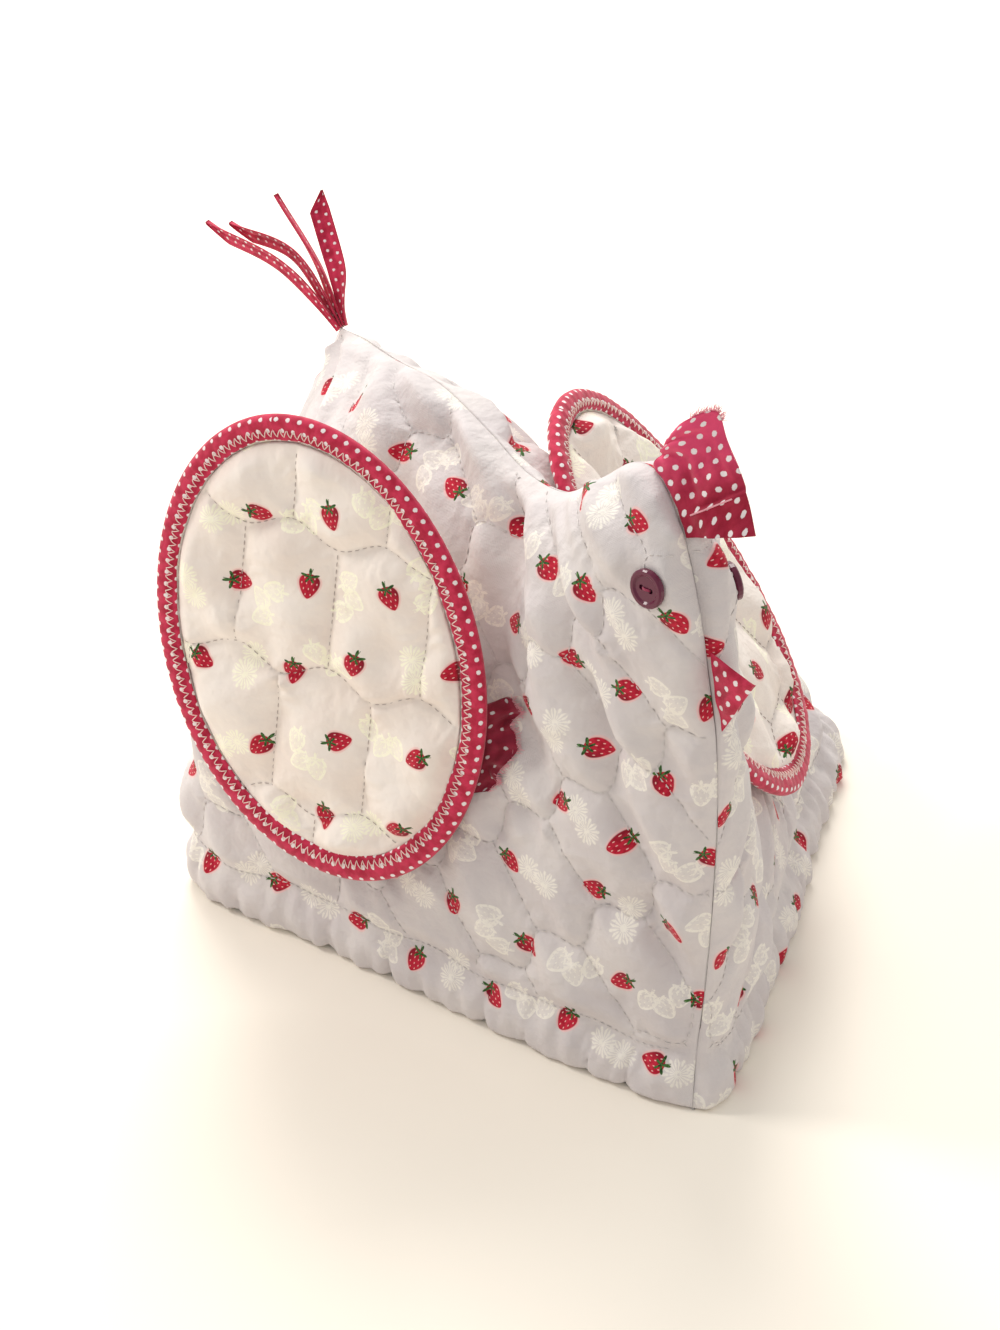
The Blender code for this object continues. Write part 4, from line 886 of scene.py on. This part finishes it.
def pin_dots(name, shade, pitch, size, scale, painted_light=None):
    """Red cotton with white dots on a staggered lattice: rows 0.87 pitch apart, every other row
    half a pitch along.  Where painted_light is given, the cloth goes from a painted shade of deep
    red to a painted pink highlight along the line x + 0.6 y between its two values."""
    cloth = Cloth(name, 0.85, 0.25)
    x, y = cloth.place(scale)
    gy = y / (pitch * 0.87)
    row = gy.floor()
    dx = ((x / pitch + row * 0.5).fract() - 0.5) * pitch
    dy = (gy - row - 0.5) * (pitch * 0.87)
    away = (dx * dx + dy * dy).root() + (cloth.noise(x, y, 0.0006) - 0.5) * 0.0005
    dot = away.step(size / 2 + 0.00012, size / 2 - 0.00018)
    deep, light = [tuple(c * shade for c in colour)
                   for colour in ((0.43, 0.011, 0.045), (0.60, 0.030, 0.086))]
    red = cloth.clouds(x, y, 0.0045, 0.3, deep, light, detail=3.0)
    if painted_light:
        # painted light: a painted shade darkens the low end of the line and a painted pink
        # highlight lights its high end
        share = (x + y * 0.6).step(*painted_light)
        red = cloth.mix(share * 0.62, red, (0.90, 0.10, 0.24))
        red = cloth.mix(0.55 - share * 0.55, red, (0.22, 0.004, 0.018))
    white = tuple(c * (0.35 + 0.65 * shade) for c in (0.86, 0.80, 0.80))
    cloth.bump(cloth.weave(x, y, 0.00035), 0.00009, 0.6)
    return cloth.finish(cloth.mix(dot, red, white))


def wing_edge(turn, inset):
    """Outline of a wing at the angles `turn`, set in from its edge along the outline's normal."""
    size = np.hypot(WING_SHORT * np.cos(turn), WING_LONG * np.sin(turn))
    return (WING_SHORT * np.sin(turn) - WING_LONG * np.sin(turn) / size * inset,
            WING_LONG * np.cos(turn) - WING_SHORT * np.cos(turn) / size * inset)


def binding_width(turn):
    """The strip is eased round the curve and widens by a fifth at the wing's foot."""
    return 1.0 + 0.22 * np.maximum(-np.cos(turn), 0.0) ** 3


def even_turns(count):
    """Angles of `count` places that lie evenly along a wing's outline, and its whole length."""
    fine = np.linspace(0, 2 * math.pi, 4001)
    step = np.hypot(np.diff(WING_SHORT * np.sin(fine)), np.diff(WING_LONG * np.cos(fine)))
    run = np.concatenate(([0.0], np.cumsum(step)))
    return np.interp(np.arange(count) / count * run[-1], run, fine), run[-1]


def wing_binding(side, word, material):
    """C section swept round the oval: round outer fold, faces that swell and pucker where the
    zigzag holds them, and edges folded under towards the pad."""
    gap = PAD_EDGE / 2 + EDGE_GAP
    out = gap + BINDING_THICK
    top = [(BINDING, gap), (0.0013, gap)]
    face = [(0.0000, 0.0008), (0.0003, out - 0.0012), (0.0010, out - 0.0002),
            (0.0021, out + 0.0004), (0.0038, out + 0.0007), (0.0056, out + 0.0007),
            (0.0072, out + 0.0003), (0.0080, out - 0.0001), (0.0088, out + 0.0002),
            (BINDING, out - 0.0002), (BINDING + 0.0002, gap + 0.0004)]
    section = top + [(x, -h) for x, h in top[::-1]] + [(x, -h) for x, h in face[::-1]] + face
    turn, length = even_turns(BINDING_STEPS)
    along = np.arange(BINDING_STEPS) / BINDING_STEPS * length
    pucker = (0.00016 * np.cos(2 * math.pi * along / 0.0052)
              + 0.00010 * ripple(along, along * 0, 31, 0.011, 5))
    ragged = 0.00025 * ripple(along, along * 0, 33, 0.023, 6)
    rows, flat, run = [], [], 0.0
    for k, (inset, h) in enumerate(section):
        p, q = wing_edge(turn, inset * binding_width(turn) + ragged * (inset > 0.0085))
        high = h + np.sign(h) * pucker * (abs(h) > gap + 0.0005)
        run += math.dist(section[k - 1], (inset, h)) if k else 0.0
        row = wing_place(side, p, q, high)
        rows.append(np.concatenate([row, row[:1]]))
        flat.append(np.stack([np.append(along, length), np.full(BINDING_STEPS + 1, run)], axis=1))
    faces = grid_faces(len(section), BINDING_STEPS + 1, wrap_rows=True)
    return piece("binding_" + word, np.concatenate(rows), [faces], [material],
                 np.concatenate(flat) / BINDING_MAP)


binding_cotton = pin_dots("binding_cotton", 1.0, 0.0053, 0.0019, BINDING_MAP)
zigzag_thread = thread_cotton("zigzag_thread", (0.84, 0.66, 0.60))
for side, word in SIDES:
    binding = wing_binding(side, word, binding_cotton)
    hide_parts("wing_binding_" + word)
    turn, length = even_turns(ZIGZAG_POINTS)
    zig = np.where(np.arange(ZIGZAG_POINTS) % 2 == 0, ZIGZAG_OUT, ZIGZAG_IN) * binding_width(turn)
    p, q = wing_edge(turn, zig)
    legs = []
    for layer in (1, -1):
        knots = wing_place(side, p, q, layer * (PAD_EDGE / 2 + EDGE_GAP + ZIGZAG_OVER))
        up = np.repeat(wing_frame(side)[3][None] * layer, len(knots), axis=0)
        legs.append((knots, np.roll(knots, -1, axis=0), up))
    zigzag = threads("zigzag_" + word, *[np.concatenate(part) for part in zip(*legs)],
                     ZIGZAG_THREAD, ZIGZAG_ARCH, zigzag_thread, "wing_cotton")

# ================================================================ wing tab
# A short raw strip of the pin-dot cotton ties the right wing's front edge to the body from behind;
# its colours are darkened as painted shade of the wing.
TAB_TALL, TAB_MIDDLE = 0.038, -0.040
TAB_FREE = 0.0120       # how far the strip shows beyond the wing
TAB_HALF = 0.00045
TAB_MAP = 0.1
TAB_START = 0.03        # height over the wing from which the body is looked for, and where it
TAB_MISS = 0.05         # counts as lying where it isn't met
TAB_OVER = 0.0024


def turned_over(front, back):
    """Rows of the front face, each run on into the same row of the back face, turned about."""
    return np.concatenate([front, back[:, ::-1]], axis=1)


def tube(name, ring, uv, material):
    """Rings of points joined in turn, with one face across each end."""
    rows, around = ring.shape[:2]
    caps = np.array([np.arange(around)[::-1], (rows - 1) * around + np.arange(around)])
    return piece(name, ring, [grid_faces(rows, around, wrap_columns=True), caps], [material],
                 uv)


def tab_faces(rows, steps):
    """Both faces of the strip, from a share s of its height and r of its reach: its free edge
    0.55 + 0.45 cos(2.6 s) with a ripple, its height over the wing eased from the binding's back
    to the body that rays find under it, in a ruffle sin(34 s + 2 sin(7 s))."""
    panel = panels[-1].data
    body = BVHTree.FromPolygons([v.co for v in panel.vertices],
                                [f.vertices for f in panel.polygons])
    share, reach = np.linspace(-0.5, 0.5, rows)[:, None], np.linspace(0.0, 1.0, steps)[None]
    q = TAB_MIDDLE + share * TAB_TALL + 0.0015 * np.sin(share * 9.0) * reach
    free = 0.55 + 0.45 * np.cos(share * 2.6) + 0.13 * ripple(share, 0.0 * share, 61, 0.22, 4)
    p = 0.0030 - reach * TAB_FREE * free - WING_SHORT * np.sqrt(1.0 - (q / WING_LONG) ** 2)
    ruffle = 0.0011 * np.sin(share * 34.0 + 2.0 * np.sin(share * 7.0)) * ease(reach, 0.1, 0.8)
    back = -(PAD_EDGE / 2 + EDGE_GAP + 0.0031)
    above = wing_place(-1, p, q, TAB_START).reshape(-1, 3)
    down = Vector(-wing_frame(-1)[3])
    met = np.array([body.ray_cast(Vector(point), down)[3] or TAB_MISS for point in above])
    floor = TAB_START + TAB_OVER - met.reshape(p.shape)
    high = back + (floor - back) * ease(reach, 0.05, 0.75) + ruffle
    high = np.maximum(high, floor - 0.0009)
    faces = [wing_place(-1, p, q, high + way * TAB_HALF) for way in (1, -1)]
    uv = np.stack(np.broadcast_arrays(share * TAB_TALL + 0.03, reach * TAB_FREE + 0.01), 2)
    return *faces, uv


tab_front, tab_back, tab_uv = tab_faces(65, 21)
# shade 0.42 darkens the strip's red and dots: painted shade of the wing
tab_cotton = pin_dots("tab_cotton", 0.42, 0.0060, 0.0015, TAB_MAP)
tab = tube("tab_cloth", turned_over(tab_front, tab_back), turned_over(tab_uv, tab_uv) / TAB_MAP,
           tab_cotton)
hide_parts("wing_tab")

# ================================================================ comb
# Two layers of the pin-dot cotton, folded into a fan, caught in the head seam at its foot; the
# upper edge is left raw and frays, and a folded strip lies across its lower front.
# Its cotton carries painted light: a painted shade of deep red at the foot and a painted pink
# highlight at the free edge.
COMB_ROOT = mm(((-40, 0, 242.3), (-43, 0, 247), (-46.5, 0, 251.5), (-50.5, 0, 255.4),
                (-55.5, 0, 258.8), (-61, 0, 260.9)))
COMB_EDGE = mm(((-23, 19, 246.5), (-33, 18.7, 266.5), (-41.5, 17.8, 276), (-46, 16, 286),
                (-50.2, 10.5, 284.8), (-57.5, 4.8, 275)))
COMB_OVER = 0.0011      # how far its foot stands over the seam
COMB_MIDDLE = 36        # the rib from which the print is measured
TRIM_MAP = 0.2
# TUCK_HIGHLIGHT is the radius of a pale pink tube along the fold: a painted highlight
TUCK_RIB, TUCK_PART, TUCK_HIGHLIGHT = 17, slice(6, 33), 0.00036    # the folded strip's edge
FRAY, FRAY_RADIUS = 0.0030, 0.00010
FRAY_PART, COMB_FRAY, TAB_FRAY = slice(45, 61), 7, 3            # its ribs, threads to a point


def comb_surface(ribs, steps):
    """Straight ribs from the root curve to the outer curve, pushed along the fan's normal by two
    soft pleats, by two creases that run up the fan and by the step of the folded strip; the two
    faces are half a thickness to each side."""
    share, t = np.linspace(0.0, 1.0, ribs), np.linspace(0.0, 1.0, steps)
    root, edge = spline(COMB_ROOT, share), spline(COMB_EDGE, share)
    along = np.gradient(root, axis=0)
    root = root + COMB_OVER * unit(np.stack([along[:, 2], np.zeros(ribs), -along[:, 0]], axis=1))
    mid = root[:, None] + (edge - root)[:, None] * t[None, :, None]
    n = normals(mid)
    s, t = share[:, None], t[None]
    wave = 0.0016 * np.sin(s * 4 * math.pi) * ease(t, 0.15, 0.8)
    tuck = 0.0032 * (1.0 - ease(s, 0.235, 0.262)) * ease(t, 0.1, 0.4)
    groove = 0.0027 * bell(t - 0.26 - 0.10 * s, 0.085) + 0.0014 * bell(t - 0.95 + 0.35 * s, 0.060)
    wave = wave + groove * ease(s, 0.27, 0.42) * ease(t, 0.05, 0.2) * (1.0 - ease(t, 0.85, 1.0))
    crease = 0.00030 * ripple(s * 0.040, t * 0.028, 41, 0.009, 8)
    thick = 0.0016 * (0.5 + 0.5 * ease(t, 0.0, 0.25)) * (1.0 - 0.45 * ease(t, 0.75, 1.0))
    return [mid + n * (wave + way * thick - tuck + crease)[:, :, None] + MIDDLE for way in (1, -1)]


comb_front, comb_back = comb_surface(73, 41)
comb_along = run_lengths(comb_front, 0)
comb_along = comb_along - comb_along[COMB_MIDDLE]
comb_uv = np.stack([comb_along, run_lengths(comb_front, 1)], axis=2) + 0.0802
# painted light on the comb: painted shade at its foot, painted pink highlight towards its free edge
comb_cotton = pin_dots("comb_cotton", 1.0, 0.0061, 0.0023, TRIM_MAP, (0.1180, 0.1560))
comb = tube("comb_cloth", turned_over(comb_front, comb_back),
            turned_over(comb_uv, comb_uv) / TRIM_MAP, comb_cotton)
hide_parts("comb")


def fibres(name, root, way, times, material, slot):
    """Loose thread ends: `times` straight fibres from each root point along its own direction,
    with a random lean and length."""
    way = np.repeat(way, times, axis=0)
    rng = np.random.default_rng(len(root))
    way = unit(unit(way) + rng.normal(0.0, 0.42, root.shape))
    reach = FRAY * rng.uniform(0.35, 1.0, (len(root), 1))
    up = unit(np.cross(way, rng.normal(0.0, 1.0, root.shape)))
    return threads(name, root - way * 0.0006, root + way * reach, up, FRAY_RADIUS, FRAY * 0.12,
                   material, slot)


# pale pink: the colour of the frayed threads, and of the painted highlight along the comb's fold
pink_fray_and_highlight = thread_cotton("pink_fray_and_highlight", (0.80, 0.36, 0.42))
# painted highlight: a pale pink tube laid along the edge of the folded strip, where light catches
# the fold
fold = -normals(comb_back)[TUCK_RIB, TUCK_PART]
fold_line = comb_back[TUCK_RIB, TUCK_PART] + fold * 0.00015
comb_tuck_painted_highlight = threads("comb_tuck_painted_highlight", fold_line[:-1], fold_line[1:] * 1.3 - fold_line[:-1] * 0.3,
                    fold[:-1], TUCK_HIGHLIGHT, 0.0, pink_fray_and_highlight, "pin_dot_cotton")
tab_edge = tab_front[:, -1] - wing_frame(-1)[3] * TAB_HALF
tab_fray = fibres("tab_fray", np.repeat(tab_edge, TAB_FRAY, axis=0),
                  tab_edge - tab_front[:, -4], TAB_FRAY, pink_fray_and_highlight, "tab_cotton")
free_edge, free_near = [(comb_front[FRAY_PART, k] + comb_back[FRAY_PART, k]) / 2
                        for k in (-1, -6)]
roots = np.repeat(free_edge, COMB_FRAY, axis=0)
roots = roots + np.random.default_rng(4).uniform(-0.0005, 0.0005, roots.shape)
comb_fray = fibres("comb_fray", roots, free_edge - free_near, COMB_FRAY, pink_fray_and_highlight,
                   "pin_dot_cotton")

# ================================================================ beak
# The beak is a small triangle of the pin-dot cotton, folded over so that it stands out with its
# fold in front.  Its raw edges are caught in the breast seam.
BEAK = mm(((-22.1, 0.4, 203), (-13.1, 0.4, 173.5), (-0.5, 4.5, 199.2)))    # top, foot, tip


def beak_shape(steps, around):
    """Ovals that shrink from the root line to the tip: the root's half length |cos|^0.9 along it
    and the cloth's fullness sin across it, a little creased; and their places on the cloth."""
    top, foot, tip = BEAK
    t = np.minimum(1.0 - (1.0 - np.linspace(0.0, 1.0, steps)) ** 1.3, 0.99)[:, None]
    w = np.arange(around) * 2 * math.pi / around
    high, low = top + (tip - top) * t, foot + (tip - foot) * t
    across, up = unit(np.cross(top - foot, tip - (top + foot) / 2)), unit(top - foot)
    fat = 0.0025 * (0.30 + 0.70 * ease(t, 0.0, 0.45)) * (1.0 - 0.62 * t)
    c = np.sign(np.cos(w)) * np.abs(np.cos(w)) ** 0.9
    crease = 0.0003 * ripple(t * 0.02, c[None] * 0.014, 51, 0.010, 5) * (1 - t)
    points = ((high + low)[:, None] / 2 + (high - low)[:, None] / 2 * c[None, :, None]
              + across * (fat * np.sin(w) + crease)[:, :, None])
    uv = np.stack([(points - foot) @ up, (points - foot) @ np.cross(across, up)], 2) + 0.05
    return points + MIDDLE, uv


beak_points, beak_uv = beak_shape(31, 40)
beak_cotton = pin_dots("beak_cotton", 0.95, 0.0057, 0.0022, TRIM_MAP)
beak = tube("beak_cloth", beak_points, beak_uv / TRIM_MAP, beak_cotton)
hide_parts("beak")

# ================================================================ tail ribbons
# Four narrow strips of the pin-dot cotton are caught together at the point of the tail; two are
# folded lengthwise, one is seen on edge and one flat, and all end in raw points.
RIBBON_WIDE, RIBBON_FLAT = 0.0086, 0.0088
RIBBON_POINT = 0.86     # share of the length at which the slanted point begins
TAIL_POINT = mm((-291.9, 0, 214.8))
# root, middle and tip in mm, then the way across at root and tip
RIBBONS = (
    ((-292.8, -3.3, 213.0), (-317.0, -12.0, 234.5), (-356.0, -28.0, 242.0),
     (0.42, -0.05, 0.90), (0.30, -0.32, 0.90)),
    ((-292.1, -1.1, 215.0), (-318.0, -7.0, 239.2), (-350.5, -19.5, 241.5),
     (0.42, -0.05, 0.90), (0.30, -0.32, 0.90)),
    ((-290.6, 1.1, 217.0), (-313.0, 0.0, 237.0), (-338.5, -4.0, 257.0),
     (0.45, 0.00, 0.89), (0.70, -0.44, 0.56)),
    ((-288.0, 3.3, 219.0), (-304.0, 4.5, 240.0), (-321.5, 5.5, 264.0),
     (0.60, 0.05, 0.80), (0.45, 0.86, 0.25)))


def ribbon(number, line, across_root, across_tip, material):
    """Strip on a curve through three points, drawn together with the others at its root.  Its
    section, creased along the middle, turns about the curve from root to tip; it is narrow where
    it is sewn in and ends in a slanted point."""
    share, t = np.linspace(0.0, 1.0, 49), np.linspace(-1.0, 1.0, 13)
    drawn = 0.70 * (1.0 - ease(share, 0.0, 0.45))[:, None]
    line = spline(line, share) + (TAIL_POINT - line[0]) * drawn
    run = unit(np.gradient(line, axis=0))
    turn = ease(share, 0.0, 0.7)[:, None]
    across = np.array(across_root) * (1 - turn) + np.array(across_tip) * turn
    across = unit(across - run * (across * run).sum(axis=1, keepdims=True))
    normal = np.cross(run, across)[:, None]
    cut = 1.0 - 0.90 * np.clip((share - RIBBON_POINT) / (1 - RIBBON_POINT), 0.0, 1.0)[:, None]
    narrow = 0.42 + 0.58 * ease(share, 0.0, 0.38)[:, None]
    bow = 0.0013 * (1.0 - np.abs(t) ** 1.3) + 0.0002 * np.cos(9.0 * t)
    wide = RIBBON_WIDE / 2 * narrow * (t * cut + (1.0 - cut) * 0.85)
    flat = line[:, None] + wide[:, :, None] * across[:, None] + normal * bow[None, :, None]
    half = 0.00042 * normal * (0.75 + 0.25 * np.cos(t * math.pi))[None, :, None]
    length = np.linalg.norm(np.diff(line, axis=0), axis=1).sum()
    uv = np.stack(np.broadcast_arrays((share * length)[:, None] + 0.013 * number,
                                      t[None] * RIBBON_WIDE / 2 + 0.0185), 2)
    strip = tube("ribbon_%d_cloth" % number, turned_over(flat + half, flat - half) + MIDDLE,
                 turned_over(uv, uv) / TRIM_MAP, material)
    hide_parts("tail_ribbon_%d" % number)


ribbon_cotton = pin_dots("ribbon_cotton", 1.0, 0.0043, 0.0013, TRIM_MAP)
for number, (*line, across_root, across_tip) in enumerate(RIBBONS, 1):
    ribbon(number, mm(line), across_root, across_tip, ribbon_cotton)

# ================================================================ button eyes
# A glossy dark red button with two holes is sewn to each side of the head with a few turns of
# thread: each button keeps its own solid, and four threads lie side by side across its dish.
EYE_THICK, EYE_DISH = 0.0028, 0.0007
EYE_THREAD_SUNK, EYE_THREAD_HALF, EYE_THREAD_APART = 0.0003, 0.0021, 0.00024
EYE_THREAD, EYE_THREAD_ARCH = 0.00020, 0.0008
button_paint = paint("button_gloss", Base_Color=(0.110, 0.007, 0.034, 1.0), Roughness=0.28,
                     Coat_Weight=0.25, Coat_Roughness=0.08, Specular_IOR_Level=0.30)
eye_thread = thread_cotton("eye_thread", (0.30, 0.03, 0.08))
for side, word in SIDES:
    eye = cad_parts["eye_" + word]
    eye.data.materials.clear()
    eye.data.materials.append(button_paint)
    middle, way, back = button_plane(side)
    along = np.array(Vector(way).to_track_quat("Z", "Y") @ Vector((1.0, 0.0, 0.0)))
    apart = (np.arange(4) - 1.5)[:, None] * EYE_THREAD_APART * np.cross(way, along)
    rows = apart + middle + way * (EYE_THICK - EYE_DISH + back - EYE_THREAD_SUNK)
    threads("eye_thread_" + word, rows - along * EYE_THREAD_HALF, rows + along * EYE_THREAD_HALF,
            np.repeat(way[None], 4, axis=0), EYE_THREAD, EYE_THREAD_ARCH, eye_thread, "button")

# ================================================================ lights, floor and camera
# A pale table top, a large window light behind it on the left, a smaller one from the right and
# the camera at the photo's height and turn.
table_mesh = bpy.data.meshes.new("table_top")
table_mesh.from_pydata([(-3, -3, 0), (3, -3, 0), (3, 3, 0), (-3, 3, 0)], [], [(0, 1, 2, 3)])
table_top = bpy.data.objects.new("table_top", table_mesh)
bpy.context.scene.collection.objects.link(table_top)
table_mesh.materials.append(paint("table_top", Base_Color=(0.97, 0.905, 0.80, 1), Roughness=0.8))

world = bpy.data.worlds.new("studio")
bpy.context.scene.world = world
world.use_nodes = True
background = world.node_tree.nodes["Background"]
background.inputs[0].default_value = (1.0, 0.985, 0.97, 1)
background.inputs[1].default_value = 0.70
bpy.context.scene.view_settings.view_transform = "Standard"


def lamp(name, place, target, size, watts, colour):
    """Square area light at a place, turned towards the target."""
    light = bpy.data.lights.new(name, "AREA")
    light.size, light.energy, light.color = size, watts, colour
    obj = bpy.data.objects.new(name, light)
    obj.location = place
    way = Vector(target) - Vector(place)
    obj.rotation_euler = way.to_track_quat("-Z", "Y").to_euler()
    bpy.context.scene.collection.objects.link(obj)


lamp("window", (-1.15, 0.45, 1.45), (0.0, 0.0, 0.08), 0.9, 29, (1.0, 0.985, 0.95))
lamp("side_window", (-1.05, -1.05, 1.40), (0.0, 0.0, 0.12), 0.40, 13, (1.0, 0.97, 0.92))

camera = bpy.data.objects.new("camera", bpy.data.cameras.new("camera"))
camera.location = (0.9360, -0.6079, 0.8378)
camera.rotation_euler = (math.radians(90 - 33.578), 0.0, math.radians(58.164))
camera.data.sensor_width = 36.0
camera.data.lens = 86.6
camera.data.clip_start = 0.05
bpy.context.scene.collection.objects.link(camera)
bpy.context.scene.camera = camera
